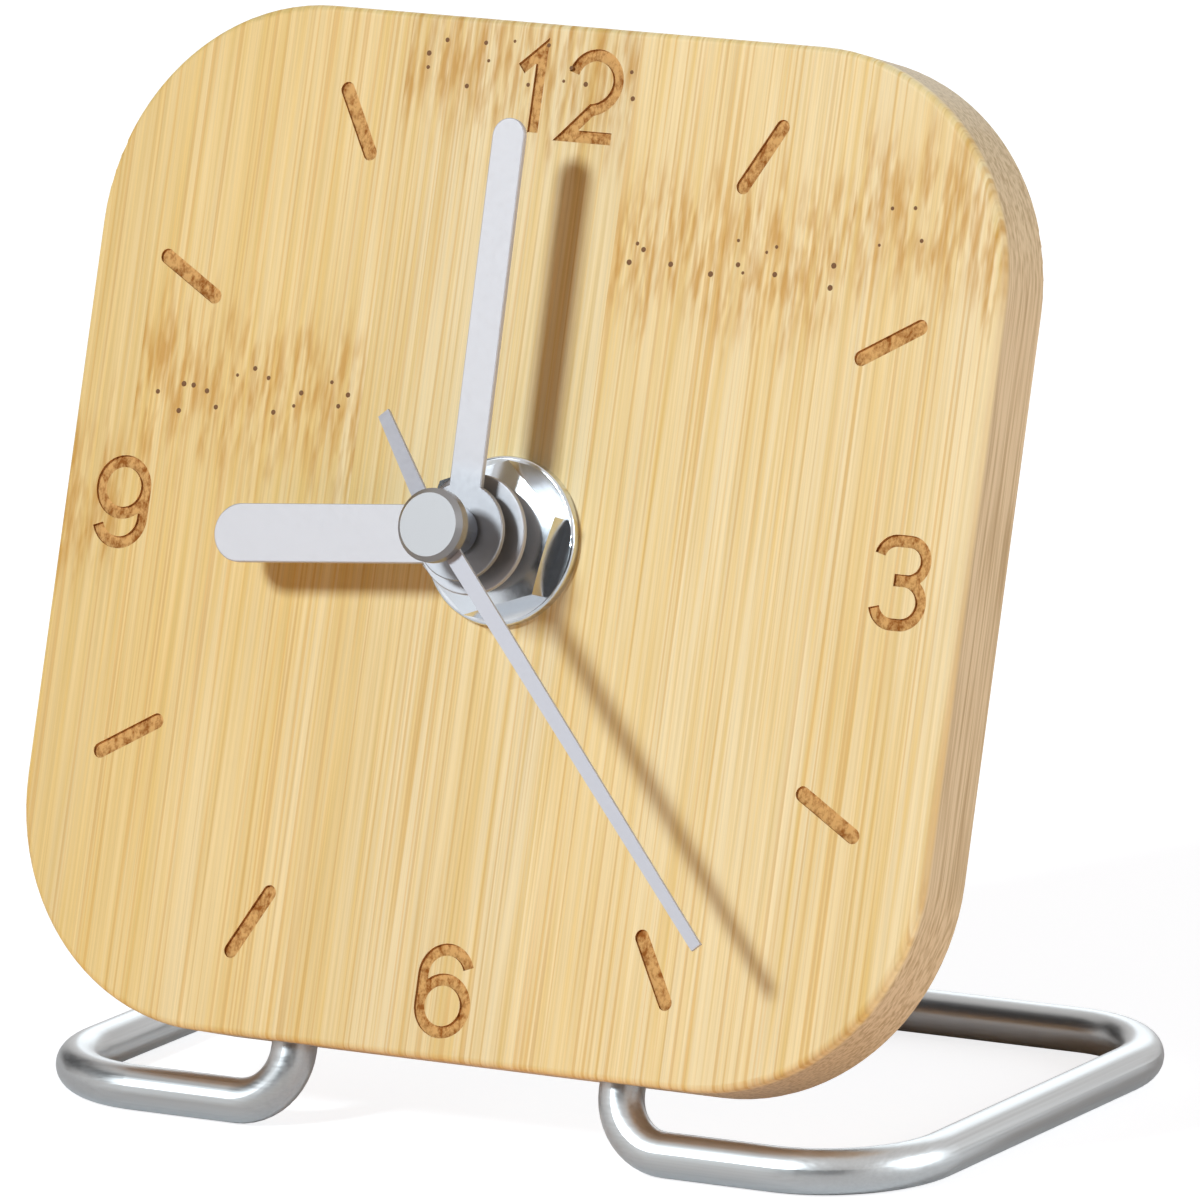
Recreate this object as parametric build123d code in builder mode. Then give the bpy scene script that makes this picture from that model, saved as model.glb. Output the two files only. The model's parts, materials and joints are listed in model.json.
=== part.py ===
from build123d import *
from math import atan2, cos, pi, radians, sin
import os

# Wooden desk clock: a leaning bamboo panel on one bent wire, with a quartz movement behind it.
# The frame's origin is on the table, under the middle of the wire stand; +Z is up and -Y faces the viewer.

# Bamboo panel
panel_size = 90.0
panel_thickness = 8.0
panel_corner_radius = 20.5
panel_edge_round = 0.6
lean_angle = 17.5

# Engraved dial
engraving_depth = 0.25
dial_hours = 12
hours_between_numerals = 3
numeral_radius = 39.0
numeral_height = 8.2
numeral_width = 5.6
numeral_stroke = 1.05
numeral_spacing = 5.6
one_flag_reach = 1.9
one_flag_drop = 1.7
two_crown_start = 165.0
two_crown_sweep = 195.0
two_neck_height = -1.2
three_upper_share = 0.47
three_end_sweep = 75.0
six_hook_start = 20.0
tick_inner_radius = 36.75
tick_length = 7.5
tick_width = 1.35

# Wire stand
wire_diameter = 4.0
wire_hole_clearance = 0.05
wire_insert_depth = 12.0
upright_spacing = 33.0
upright_length = 5.5
upright_bend_radius = 5.0
stand_width = 85.2
stand_depth = 54.2
floor_bend_radius = 10.5

# Washer, nut and threaded bush
washer_diameter = 14.8
washer_thickness = 1.0
washer_edge_round = 0.33
nut_sides = 6
nut_across_flats = 12.0
nut_thickness = 2.8
nut_cone_height = 0.5
nut_land = 0.4
nut_turn = 20.0
thread_diameter = 8.0
thread_clearance = 0.03
bush_beyond_nut = 0.8
panel_hole_clearance = 0.2

# Hands, with heights given from the panel's face to a hand's front
hand_thickness = 0.5
hand_edge_round = 0.12
hour_hand_height = 5.9
hour_hand_length = 25.7
hour_hand_width = 5.1
hour_eye_diameter = 10.5
hour_hand_angle = 265.2
minute_hand_height = 7.9
minute_hand_length = 35.8
minute_hand_width = 3.15
minute_eye_diameter = 8.5
minute_hand_angle = -0.8
second_hand_thickness = 0.35
second_hand_height = 11.9
second_hand_length = 44.0
second_tail_length = 12.5
second_root_width = 1.55
second_tip_width = 1.0
second_tail_width = 1.15
second_tip_drop = 3.0
second_tail_drop = 2.6
second_hand_angle = 138.6
second_hub_diameter = 4.1
second_hub_gap = 0.3
second_rivet_diameter = 1.8
cap_diameter = 6.4
cap_thickness = 1.35
cap_bevel = 0.45

# Arbors, pipes and fits
second_arbor_diameter = 0.8
minute_pipe_diameter = 2.8
hour_pipe_diameter = 5.2
running_clearance = 0.05
press_clearance = 0.01
clutch_clearance = 0.02
pipe_beyond_hand = 0.1
pivot_diameter = 0.6
pivot_length = 0.8
post_wall = 0.7
post_gap = 0.1
motion_stud_diameter = 1.0
intermediate_pin_diameter = 0.7

# Movement case
gasket_thickness = 0.8
gasket_diameter = 20.0
case_top = 28.0
case_wall = 1.4
case_front_wall = 1.2
case_corner_radius = 3.0
partition_height = 10.4
partition_wall = 1.2
cover_thickness = 1.2
cover_lip_depth = 1.6
cover_lip_wall = 1.0
cover_lip_clearance = 0.1
cover_screw_inset = 5.0

# Battery, size AA, and its contacts
battery_diameter = 14.5
battery_length = 50.5
battery_nub_diameter = 5.5
battery_nub_length = 1.3
battery_sleeve_wall = 0.2
battery_rim = 0.8
battery_clearance = 0.25
bay_end_room = 1.35
contact_thickness = 0.4
contact_width = 8.0
contact_gap = 0.05
tongue_width = 4.0

# Train wheels: teeth and modules
wheel_gap = 0.3
pinion_overhang = 0.15
rotor_pinion_teeth = 8
intermediate_wheel_teeth = 40
intermediate_pinion_teeth = 10
second_wheel_teeth = 60
second_pinion_teeth = 8
third_wheel_teeth = 60
third_pinion_teeth = 8
centre_wheel_teeth = 64
cannon_pinion_teeth = 12
motion_wheel_teeth = 36
setting_pinion_teeth = 12
motion_pinion_teeth = 10
hour_wheel_teeth = 40
rotor_module = 0.2
intermediate_module = 0.2
second_module = 0.22
motion_module = 0.25
hour_wheel_thickness = 1.0
motion_wheel_thickness = 1.0
centre_wheel_thickness = 0.8
centre_hub_length = 0.5
centre_hub_diameter = 3.8
third_wheel_thickness = 0.7
second_wheel_thickness = 0.6
intermediate_wheel_thickness = 0.6
addendum = 0.8
dedendum = 1.2
tip_share = 0.1
root_share = 0.34

# Directions from one arbor to the next, in degrees from the dial's right-hand side
third_direction = 20.0
motion_direction = 200.0
setting_direction = 150.0
intermediate_direction = 100.0
rotor_direction = 60.0

# Train plate, motor and circuit
plate_thickness = 1.2
plate_width = 30.0
plate_top = 14.6
plate_gap = 1.0
plate_hole_clearance = 0.5
plate_post_inset = 2.0
plate_post_diameter = 3.2
plate_corner_radius = 2.0
screw_diameter = 1.6
screw_head_diameter = 2.8
screw_head_thickness = 0.8
screw_slot_width = 0.4
screw_length = 4.0
rotor_magnet_diameter = 3.0
rotor_magnet_thickness = 1.6
rotor_shaft_diameter = 0.7
rotor_air_gap = 0.5
stator_thickness = 1.0
stator_bar_width = 4.6
stator_arm_width = 2.6
core_thickness = 1.0
core_width = 2.6
core_length = 19.0
coil_height = 18.6
coil_diameter = 6.4
bobbin_wall = 0.5
bobbin_flange_thickness = 0.7
bobbin_flange_diameter = 7.2
board_thickness = 0.8
board_width = 9.6
board_gap = 0.6
board_bottom = -7.5
board_top = 19.5
board_post_diameter = 3.0
board_stake_diameter = 1.4
board_stake_height = 0.4
chip_diameter = 6.0
chip_height = 1.2
chip_edge_round = 0.95
crystal_diameter = 2.0
crystal_length = 6.0
crystal_edge_round = 0.25
crystal_height = 13.0
chip_place = 3.0
lead_width = 1.3
lead_foot_width = 2.5
lead_foot_length = 2.0

# Setting knob
knob_diameter = 10.0
knob_thickness = 3.6
knob_gap = 0.3
knob_ridges = 24
knob_ridge_height = 0.35
knob_bore_depth = 2.4
setting_arbor_diameter = 2.0

os.makedirs("parts", exist_ok=True)


# Places that follow from the sizes above

quarter_turn = 90
half_turn = 180
hour_turn = 2 * half_turn / dial_hours
wire_radius = wire_diameter / 2
lean_sin = sin(radians(lean_angle))
lean_cos = cos(radians(lean_angle))
half_panel = panel_size / 2
front_bar_y = -stand_depth / 2
face_y = front_bar_y + (half_panel + upright_length) * lean_sin - panel_thickness / 2 * lean_cos
face_z = wire_radius + (half_panel + upright_length) * lean_cos + panel_thickness / 2 * lean_sin

# The dial plane lies on the panel's face: x to the right, y up the panel, z out towards the viewer
dial = Plane(origin=(0, face_y, face_z), x_dir=(1, 0, 0), z_dir=(0, -lean_cos, lean_sin))

# Depths along the dial's z, from the panel's back towards the rear
panel_back = -panel_thickness
case_front = panel_back - gasket_thickness
case_floor = case_front - case_front_wall
hour_wheel_front = case_floor - wheel_gap
hour_wheel_back = hour_wheel_front - hour_wheel_thickness
motion_wheel_front = hour_wheel_back - wheel_gap
motion_wheel_back = motion_wheel_front - motion_wheel_thickness
centre_wheel_front = motion_wheel_back - wheel_gap
centre_wheel_back = centre_wheel_front - centre_wheel_thickness
minute_pipe_back = centre_wheel_back - centre_hub_length
third_wheel_front = minute_pipe_back - wheel_gap
third_wheel_back = third_wheel_front - third_wheel_thickness
second_wheel_front = third_wheel_back - wheel_gap
second_wheel_back = second_wheel_front - second_wheel_thickness
intermediate_wheel_front = second_wheel_back - wheel_gap
intermediate_wheel_back = intermediate_wheel_front - intermediate_wheel_thickness
plate_front = intermediate_wheel_back - wheel_gap
plate_back = plate_front - plate_thickness
stator_back = plate_back - stator_thickness
core_front = plate_back + core_thickness
board_back = plate_back - board_thickness
case_rim = case_floor - battery_clearance - battery_diameter
cover_back = case_rim - cover_thickness
knob_front = cover_back - knob_gap
knob_back = knob_front - knob_thickness

# Arbors on the dial plane, one centre distance after another
second_centres = (second_pinion_teeth + third_wheel_teeth) * second_module / 2
third_module = 2 * second_centres / (third_pinion_teeth + centre_wheel_teeth)
motion_centres = (cannon_pinion_teeth + motion_wheel_teeth) * motion_module / 2
hour_module = 2 * motion_centres / (motion_pinion_teeth + hour_wheel_teeth)
setting_centres = (setting_pinion_teeth + motion_wheel_teeth) * motion_module / 2
intermediate_centres = (intermediate_pinion_teeth + second_wheel_teeth) * intermediate_module / 2
rotor_centres = (rotor_pinion_teeth + intermediate_wheel_teeth) * rotor_module / 2


def step(start, distance, direction):
    """The point at a distance from start, in a direction in degrees."""
    turn = radians(direction)
    return (start[0] + distance * cos(turn), start[1] + distance * sin(turn))


def bearing(start, end):
    """The direction from one arbor to another, in radians."""
    return atan2(end[1] - start[1], end[0] - start[0])


hand_axis = (0.0, 0.0)
third_axis = step(hand_axis, second_centres, third_direction)
motion_axis = step(hand_axis, motion_centres, motion_direction)
setting_axis = step(motion_axis, setting_centres, setting_direction)
intermediate_axis = step(hand_axis, intermediate_centres, intermediate_direction)
rotor_axis = step(intermediate_axis, rotor_centres, rotor_direction)

# Radii of the pipes that run one inside the other
second_arbor_radius = second_arbor_diameter / 2
minute_pipe_radius = minute_pipe_diameter / 2
hour_pipe_radius = hour_pipe_diameter / 2
thread_radius = thread_diameter / 2
pivot_radius = pivot_diameter / 2
post_radius = pivot_radius + running_clearance + post_wall
setting_radius = setting_arbor_diameter / 2

# Layout of the case
inner_half_width = battery_length / 2 + bay_end_room
half_case = inner_half_width + case_wall
case_width = 2 * half_case
bay_height = battery_diameter + 2 * battery_clearance
bay_top = -partition_height - partition_wall
bay_bottom = bay_top - bay_height
case_bottom = bay_bottom - case_wall
case_height = case_top - case_bottom
case_middle = (case_top + case_bottom) / 2
battery_axis_height = (bay_top + bay_bottom) / 2
battery_axis_depth = case_floor - battery_clearance - battery_diameter / 2
plate_bottom = -partition_height + plate_gap
plate_post_places = [
    (side * (plate_width / 2 - plate_post_inset), height)
    for side in (-1, 1)
    for height in (plate_bottom + plate_post_inset, plate_top - plate_post_inset)
]
core_screw_places = [(side * (core_length - stator_arm_width) / 2, coil_height) for side in (-1, 1)]
board_left = plate_width / 2 + board_gap
board_right = board_left + board_width
board_middle = (board_left + board_right) / 2
board_stake_places = [(board_middle, board_bottom + board_post_diameter / 2),
                      (board_middle, board_top - board_post_diameter / 2)]


def finish(builder, label):
    """Name a finished piece and write it."""
    builder.part.label = label
    export_step(builder.part, f"parts/{label}.step")


def gear_outline(teeth, module, axis, phase):
    """Corner points of a gear with slim straight-sided teeth, one of them at the phase angle."""
    pitch_radius = teeth * module / 2
    root = pitch_radius - dedendum * module
    tip = pitch_radius + addendum * module
    pitch = 2 * pi / teeth
    corners = ((root, -root_share), (tip, -tip_share), (tip, tip_share), (root, root_share))
    points = []
    for tooth in range(teeth):
        for radius, share in corners:
            turn = phase + (tooth + share) * pitch
            points.append((axis[0] + radius * cos(turn), axis[1] + radius * sin(turn)))
    return points


def mesh_phase(teeth, driver_teeth, driver_phase, towards):
    """The phase of a gear that meshes with a driver, which lies back along the bearing towards the gear."""
    driver_share = (towards - driver_phase) * driver_teeth / (2 * pi)
    return towards + pi - (1 / 2 - driver_share) * 2 * pi / teeth


def turned_wheel(label, axis, gears, rounds, bores=()):
    """A wheel of the train on one axis, from its gears, its round lengths and its bores."""
    with BuildPart() as wheel:
        for teeth, module, phase, back, front in gears:
            with BuildSketch(dial.offset(back)):
                with BuildLine():
                    Polyline(*gear_outline(teeth, module, axis, phase), close=True)
                make_face()
            extrude(amount=front - back)
        for radius, back, front in rounds:
            with BuildSketch(dial.offset(back)):
                with Locations(axis):
                    Circle(radius)
            extrude(amount=front - back)
        for radius, back, front in bores:
            with BuildSketch(dial.offset(back)):
                with Locations(axis):
                    Circle(radius)
            extrude(amount=front - back, mode=Mode.SUBTRACT)
    finish(wheel, label)


# Engraved numerals, drawn as strokes about their own middles
stroke_right = (numeral_width - numeral_stroke) / 2
stroke_top = (numeral_height - numeral_stroke) / 2
upper_bowl = three_upper_share * stroke_top
lower_bowl = stroke_top - upper_bowl
upper_middle = stroke_top - upper_bowl
lower_middle = lower_bowl - stroke_top
crown_middle = (0, stroke_top - stroke_right)
three_end_start = quarter_turn + three_end_sweep
six_hook_sweep = half_turn - six_hook_start

with BuildSketch() as numeral_one:
    with BuildLine():
        Polyline((-one_flag_reach, stroke_top - one_flag_drop), (0, stroke_top), (0, -stroke_top))
    trace(line_width=numeral_stroke)

with BuildSketch() as numeral_two:
    with BuildLine():
        crown = CenterArc(crown_middle, stroke_right, two_crown_start, -two_crown_sweep)
        neck = TangentArc(crown @ 1, (0, two_neck_height), tangent=crown % 1)
        Polyline(neck @ 1, (-stroke_right, -stroke_top), (stroke_right, -stroke_top))
    trace(line_width=numeral_stroke)

with BuildSketch() as numeral_three:
    with BuildLine():
        upper_turn = stroke_right - upper_bowl
        lower_turn = stroke_right - lower_bowl
        upper_end = CenterArc((-upper_turn, upper_middle), upper_bowl, three_end_start, -three_end_sweep)
        upper_side = CenterArc((upper_turn, upper_middle), upper_bowl, quarter_turn, -half_turn)
        Line(upper_end @ 1, upper_side @ 0)
        Line(upper_side @ 1, (-upper_turn, (upper_side @ 1).Y))
    trace(line_width=numeral_stroke)
    with BuildLine():
        lower_side = CenterArc((lower_turn, lower_middle), lower_bowl, quarter_turn, -half_turn)
        lower_end = CenterArc((-lower_turn, lower_middle), lower_bowl, -quarter_turn, -three_end_sweep)
        Line((0, (lower_side @ 0).Y), lower_side @ 0)
        Line(lower_side @ 1, lower_end @ 0)
    trace(line_width=numeral_stroke)

with BuildSketch() as numeral_six:
    with Locations((0, stroke_right - stroke_top)):
        Circle(stroke_right + numeral_stroke / 2)
        Circle(stroke_right - numeral_stroke / 2, mode=Mode.SUBTRACT)
    with BuildLine():
        hook = CenterArc(crown_middle, stroke_right, six_hook_start, six_hook_sweep)
        Line(hook @ 1, (-stroke_right, stroke_right - stroke_top))
    trace(line_width=numeral_stroke)

# The panel: rounded square, engraved, with the hole for the bush and two holes for the wire's ends
upright_places = [(side * upright_spacing / 2, 0) for side in (-1, 1)]
wire_entry = Plane(
    origin=dial.from_local_coords((0, -half_panel, panel_back / 2)), x_dir=(1, 0, 0), z_dir=dial.y_dir
)

with BuildPart() as bamboo_panel:
    with BuildSketch(dial.offset(panel_back)):
        RectangleRounded(panel_size, panel_size, panel_corner_radius)
    extrude(amount=panel_thickness)
    rims = faces().sort_by(Axis(dial.origin, dial.z_dir))
    fillet(rims[0].edges() + rims[-1].edges(), panel_edge_round)
    with BuildSketch(dial):
        for hour in range(dial_hours):
            if hour % hours_between_numerals:
                with PolarLocations(tick_inner_radius + tick_length / 2, 1, hour * hour_turn):
                    SlotOverall(tick_length, tick_width)
        with Locations((-numeral_spacing / 2, numeral_radius)):
            add(numeral_one.sketch)
        with Locations((numeral_spacing / 2, numeral_radius)):
            add(numeral_two.sketch)
        with Locations((numeral_radius, 0)):
            add(numeral_three.sketch)
        with Locations((0, -numeral_radius)):
            add(numeral_six.sketch)
        with Locations((-numeral_radius, 0)):
            add(numeral_six.sketch, rotation=half_turn)
    extrude(amount=-engraving_depth, mode=Mode.SUBTRACT)
    with BuildSketch(dial.offset(panel_back)):
        Circle(thread_radius + panel_hole_clearance)
    extrude(amount=panel_thickness, mode=Mode.SUBTRACT)
    with BuildSketch(wire_entry):
        with Locations(*upright_places):
            Circle(wire_radius + wire_hole_clearance)
    extrude(amount=wire_insert_depth + wire_hole_clearance, mode=Mode.SUBTRACT)
finish(bamboo_panel, "bamboo_panel")

# The wire stand: one wire from the panel's left hole, round the table and back up to the right hole
side_x = stand_width / 2
rear_bar_y = stand_depth / 2
upright_x = upright_spacing / 2
insert_top = dial.from_local_coords((upright_x, wire_insert_depth - half_panel, panel_back / 2))
right_half = [
    (upright_x, front_bar_y, wire_radius),
    (side_x, front_bar_y, wire_radius),
    (side_x, rear_bar_y, wire_radius),
]
right_route = [(insert_top.X, insert_top.Y, insert_top.Z), *right_half]
left_route = [(-x, y, z) for x, y, z in right_route]
bend_radii = [upright_bend_radius, floor_bend_radius, floor_bend_radius]

with BuildPart() as wire_stand:
    with BuildLine():
        FilletPolyline(*left_route, *reversed(right_route), radius=[*bend_radii, *reversed(bend_radii)])
    with BuildSketch(Plane(origin=left_route[0], z_dir=-dial.y_dir)):
        Circle(wire_radius)
    sweep()
finish(wire_stand, "wire_stand")

# Washer, hex nut with a turned front, threaded bush and rubber gasket
nut_front = washer_thickness + nut_thickness
nut_corner_radius = nut_across_flats / 2 / cos(pi / nut_sides)
bush_front = nut_front + bush_beyond_nut

with BuildPart() as mounting_washer:
    with BuildSketch(dial):
        Circle(washer_diameter / 2)
        Circle(thread_radius + panel_hole_clearance, mode=Mode.SUBTRACT)
    extrude(amount=washer_thickness)
    fillet(faces().sort_by(Axis(dial.origin, dial.z_dir))[-1].outer_wire().edges(), washer_edge_round)
finish(mounting_washer, "mounting_washer")

with BuildPart() as hex_nut:
    with BuildSketch(dial.offset(washer_thickness)):
        RegularPolygon(nut_across_flats / 2, nut_sides, major_radius=False, rotation=nut_turn)
    extrude(amount=nut_thickness)
    with BuildSketch(dial.offset(washer_thickness)):
        Circle(nut_corner_radius)
    with BuildSketch(dial.offset(nut_front - nut_cone_height)):
        Circle(nut_corner_radius)
    with BuildSketch(dial.offset(nut_front)):
        Circle(thread_radius + thread_clearance + nut_land)
    loft(ruled=True, mode=Mode.INTERSECT)
    with BuildSketch(dial.offset(washer_thickness)):
        Circle(thread_radius + thread_clearance)
    extrude(amount=nut_thickness, mode=Mode.SUBTRACT)
finish(hex_nut, "hex_nut")

with BuildPart() as threaded_bush:
    with BuildSketch(dial.offset(case_floor)):
        Circle(thread_radius)
        Circle(hour_pipe_radius + running_clearance, mode=Mode.SUBTRACT)
    extrude(amount=bush_front - case_floor)
    front_rim = faces().sort_by(Axis(dial.origin, dial.z_dir))[-1].outer_wire()
    chamfer(front_rim.edges(), bush_beyond_nut / 2)
finish(threaded_bush, "threaded_bush")

with BuildPart() as rubber_gasket:
    with BuildSketch(dial.offset(case_front)):
        Circle(gasket_diameter / 2)
        Circle(thread_radius + panel_hole_clearance, mode=Mode.SUBTRACT)
    extrude(amount=gasket_thickness)
finish(rubber_gasket, "rubber_gasket")


# Hands: a plane turned so that x runs along the hand
def hand_plane(angle, height):
    """The dial plane at a height, turned to a clock angle counted from twelve."""
    turn = radians(angle)
    along = dial.x_dir * sin(turn) + dial.y_dir * cos(turn)
    return Plane(origin=dial.from_local_coords((0, 0, height)), x_dir=along, z_dir=dial.z_dir)


def flat_hand(label, angle, height, length, width, eye_diameter, pipe_radius):
    """A stamped hand with a round tip and a round eye, pressed on its pipe."""
    with BuildPart() as hand:
        with BuildSketch(hand_plane(angle, height - hand_thickness)):
            Circle(eye_diameter / 2)
            Rectangle(length - width / 2, width, align=(Align.MIN, Align.CENTER))
            with Locations((length - width / 2, 0)):
                Circle(width / 2)
            Circle(pipe_radius + press_clearance, mode=Mode.SUBTRACT)
        extrude(amount=hand_thickness)
        front_face = faces().sort_by(Axis(dial.origin, dial.z_dir))[-1]
        fillet(front_face.outer_wire().edges(), hand_edge_round)
    finish(hand, label)


flat_hand("hour_hand", hour_hand_angle, hour_hand_height, hour_hand_length, hour_hand_width,
          hour_eye_diameter, hour_pipe_radius)
flat_hand("minute_hand", minute_hand_angle, minute_hand_height, minute_hand_length, minute_hand_width,
          minute_eye_diameter, minute_pipe_radius)

# The second hand: a thin strip bent back towards the dial on both sides of its hub
second_plane = hand_plane(second_hand_angle, 0)
second_side = Plane(origin=second_plane.origin, x_dir=second_plane.x_dir, z_dir=-second_plane.y_dir)
second_hub_radius = second_hub_diameter / 2
rivet_radius = second_rivet_diameter / 2
strip_front = [
    (-second_tail_length, second_hand_height - second_tail_drop),
    (-second_hub_radius, second_hand_height),
    (second_hub_radius, second_hand_height),
    (second_hand_length, second_hand_height - second_tip_drop),
]
strip_back = [(reach, height - second_hand_thickness) for reach, height in reversed(strip_front)]
second_hand_back = second_hand_height - second_hand_thickness

with BuildPart() as second_hand:
    with BuildSketch(second_plane):
        with BuildLine():
            Polyline(
                (-second_tail_length, second_tail_width / 2),
                (0, second_root_width / 2),
                (second_hand_length, second_tip_width / 2),
                (second_hand_length, -second_tip_width / 2),
                (0, -second_root_width / 2),
                (-second_tail_length, -second_tail_width / 2),
                close=True,
            )
        make_face()
        Circle(second_hub_radius)
        Circle(rivet_radius + press_clearance, mode=Mode.SUBTRACT)
    extrude(amount=second_hand_height)
    with BuildSketch(second_side):
        with BuildLine():
            Polyline(*strip_front, *strip_back, close=True)
        make_face()
    extrude(amount=second_hub_radius, both=True, mode=Mode.INTERSECT)
finish(second_hand, "second_hand")

second_hub_back = minute_hand_height + pipe_beyond_hand + second_hub_gap
rivet_front = second_hand_height + cap_thickness / 2
arbor_front = second_hand_back - second_arbor_radius

with BuildPart() as second_hand_hub:
    with BuildSketch(dial.offset(second_hub_back)):
        Circle(second_hub_radius)
    extrude(amount=second_hand_back - second_hub_back)
    with BuildSketch(dial.offset(second_hand_back)):
        Circle(rivet_radius)
    extrude(amount=rivet_front - second_hand_back)
    with BuildSketch(dial.offset(second_hub_back)):
        Circle(second_arbor_radius + press_clearance)
    extrude(amount=arbor_front - second_hub_back + press_clearance, mode=Mode.SUBTRACT)
finish(second_hand_hub, "second_hand_hub")

with BuildPart() as second_hand_cap:
    with BuildSketch(dial.offset(second_hand_height)):
        Circle(cap_diameter / 2)
    extrude(amount=cap_thickness)
    chamfer(faces().sort_by(Axis(dial.origin, dial.z_dir))[-1].edges(), cap_bevel)
    with BuildSketch(dial.offset(second_hand_height)):
        Circle(rivet_radius + press_clearance)
    extrude(amount=cap_thickness / 2 + press_clearance, mode=Mode.SUBTRACT)
finish(second_hand_cap, "second_hand_cap")

# The going train, from the rotor to the hands; each pair is in mesh at rest
to_third = bearing(hand_axis, third_axis)
to_motion = bearing(hand_axis, motion_axis)
to_setting = bearing(motion_axis, setting_axis)
to_intermediate = bearing(hand_axis, intermediate_axis)
to_rotor = bearing(intermediate_axis, rotor_axis)
third_pinion_phase = mesh_phase(third_pinion_teeth, centre_wheel_teeth, to_third, to_third)
third_wheel_phase = mesh_phase(third_wheel_teeth, second_pinion_teeth, to_third, to_third)
motion_wheel_phase = mesh_phase(motion_wheel_teeth, cannon_pinion_teeth, to_motion, to_motion)
motion_pinion_phase = mesh_phase(motion_pinion_teeth, hour_wheel_teeth, to_motion, to_motion)
setting_phase = mesh_phase(setting_pinion_teeth, motion_wheel_teeth, motion_wheel_phase, to_setting)
intermediate_pinion_phase = mesh_phase(
    intermediate_pinion_teeth, second_wheel_teeth, to_intermediate, to_intermediate)
rotor_phase = mesh_phase(rotor_pinion_teeth, intermediate_wheel_teeth, to_rotor, to_rotor)

minute_pipe_front = minute_hand_height + pipe_beyond_hand
hour_pipe_front = hour_hand_height + pipe_beyond_hand
second_pinion_front = third_wheel_front + pinion_overhang
third_pinion_front = centre_wheel_front + pinion_overhang
cannon_pinion_front = motion_wheel_front + pinion_overhang
cannon_pinion_back = motion_wheel_back - pinion_overhang
setting_pinion_front = motion_wheel_front + pinion_overhang
intermediate_pinion_front = second_wheel_front + pinion_overhang
rotor_pinion_front = intermediate_wheel_front + pinion_overhang
rotor_pinion_back = intermediate_wheel_back - pinion_overhang
cannon_root = (cannon_pinion_teeth / 2 - dedendum) * motion_module
centre_seat_radius = cannon_root - press_clearance
magnet_front = plate_back + (rotor_magnet_thickness - stator_thickness) / 2
magnet_back = magnet_front - rotor_magnet_thickness
magnet_radius = rotor_magnet_diameter / 2
rotor_shaft_radius = rotor_shaft_diameter / 2
rotor_shaft_back = magnet_back - post_gap
intermediate_pin_radius = intermediate_pin_diameter / 2
motion_stud_radius = motion_stud_diameter / 2

turned_wheel(
    "hour_wheel", hand_axis,
    gears=[(hour_wheel_teeth, hour_module, to_motion, hour_wheel_back, hour_wheel_front)],
    rounds=[(hour_pipe_radius, hour_wheel_back, hour_pipe_front)],
    bores=[(minute_pipe_radius + running_clearance, hour_wheel_back, hour_pipe_front)],
)
turned_wheel(
    "minute_pipe", hand_axis,
    gears=[(cannon_pinion_teeth, motion_module, to_motion, cannon_pinion_back, cannon_pinion_front)],
    rounds=[
        (minute_pipe_radius, cannon_pinion_front, minute_pipe_front),
        (centre_seat_radius, minute_pipe_back, cannon_pinion_back),
    ],
    bores=[(second_arbor_radius + running_clearance, minute_pipe_back, minute_pipe_front)],
)
turned_wheel(
    "centre_wheel", hand_axis,
    gears=[(centre_wheel_teeth, third_module, to_third, centre_wheel_back, centre_wheel_front)],
    rounds=[(centre_hub_diameter / 2, minute_pipe_back, centre_wheel_back)],
    bores=[(centre_seat_radius + clutch_clearance, minute_pipe_back, centre_wheel_front)],
)
turned_wheel(
    "third_wheel", third_axis,
    gears=[
        (third_wheel_teeth, second_module, third_wheel_phase, third_wheel_back, third_wheel_front),
        (third_pinion_teeth, third_module, third_pinion_phase, third_wheel_front, third_pinion_front),
    ],
    rounds=[
        (pivot_radius, third_pinion_front, third_pinion_front + pivot_length),
        (second_arbor_radius, plate_front + post_gap, third_wheel_back),
        (pivot_radius, plate_back, plate_front + post_gap),
    ],
)
turned_wheel(
    "second_wheel", hand_axis,
    gears=[
        (second_wheel_teeth, intermediate_module, to_intermediate, second_wheel_back, second_wheel_front),
        (second_pinion_teeth, second_module, to_third, second_wheel_front, second_pinion_front),
    ],
    rounds=[],
    bores=[(second_arbor_radius + press_clearance, second_wheel_back, second_pinion_front)],
)
turned_wheel(
    "second_arbor", hand_axis,
    gears=[],
    rounds=[
        (second_arbor_radius, plate_front + post_gap, arbor_front),
        (pivot_radius, plate_back, plate_front + post_gap),
    ],
)
turned_wheel(
    "intermediate_wheel", intermediate_axis,
    gears=[
        (intermediate_wheel_teeth, rotor_module, to_rotor, intermediate_wheel_back, intermediate_wheel_front),
        (intermediate_pinion_teeth, intermediate_module, intermediate_pinion_phase,
         intermediate_wheel_front, intermediate_pinion_front),
    ],
    rounds=[],
    bores=[(intermediate_pin_radius + running_clearance, intermediate_wheel_back, intermediate_pinion_front)],
)
turned_wheel(
    "intermediate_pin", intermediate_axis,
    gears=[],
    rounds=[(intermediate_pin_radius, plate_back, intermediate_pinion_front + post_gap)],
)
turned_wheel(
    "rotor_pinion", rotor_axis,
    gears=[(rotor_pinion_teeth, rotor_module, rotor_phase, rotor_pinion_back, rotor_pinion_front)],
    rounds=[
        (pivot_radius, rotor_pinion_front, rotor_pinion_front + pivot_length),
        (rotor_shaft_radius, rotor_shaft_back, rotor_pinion_back),
        (pivot_radius, rotor_shaft_back - pivot_length, rotor_shaft_back),
    ],
)
turned_wheel(
    "rotor_magnet", rotor_axis,
    gears=[],
    rounds=[(magnet_radius, magnet_back, magnet_front)],
    bores=[(rotor_shaft_radius + press_clearance, magnet_back, magnet_front)],
)
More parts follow.
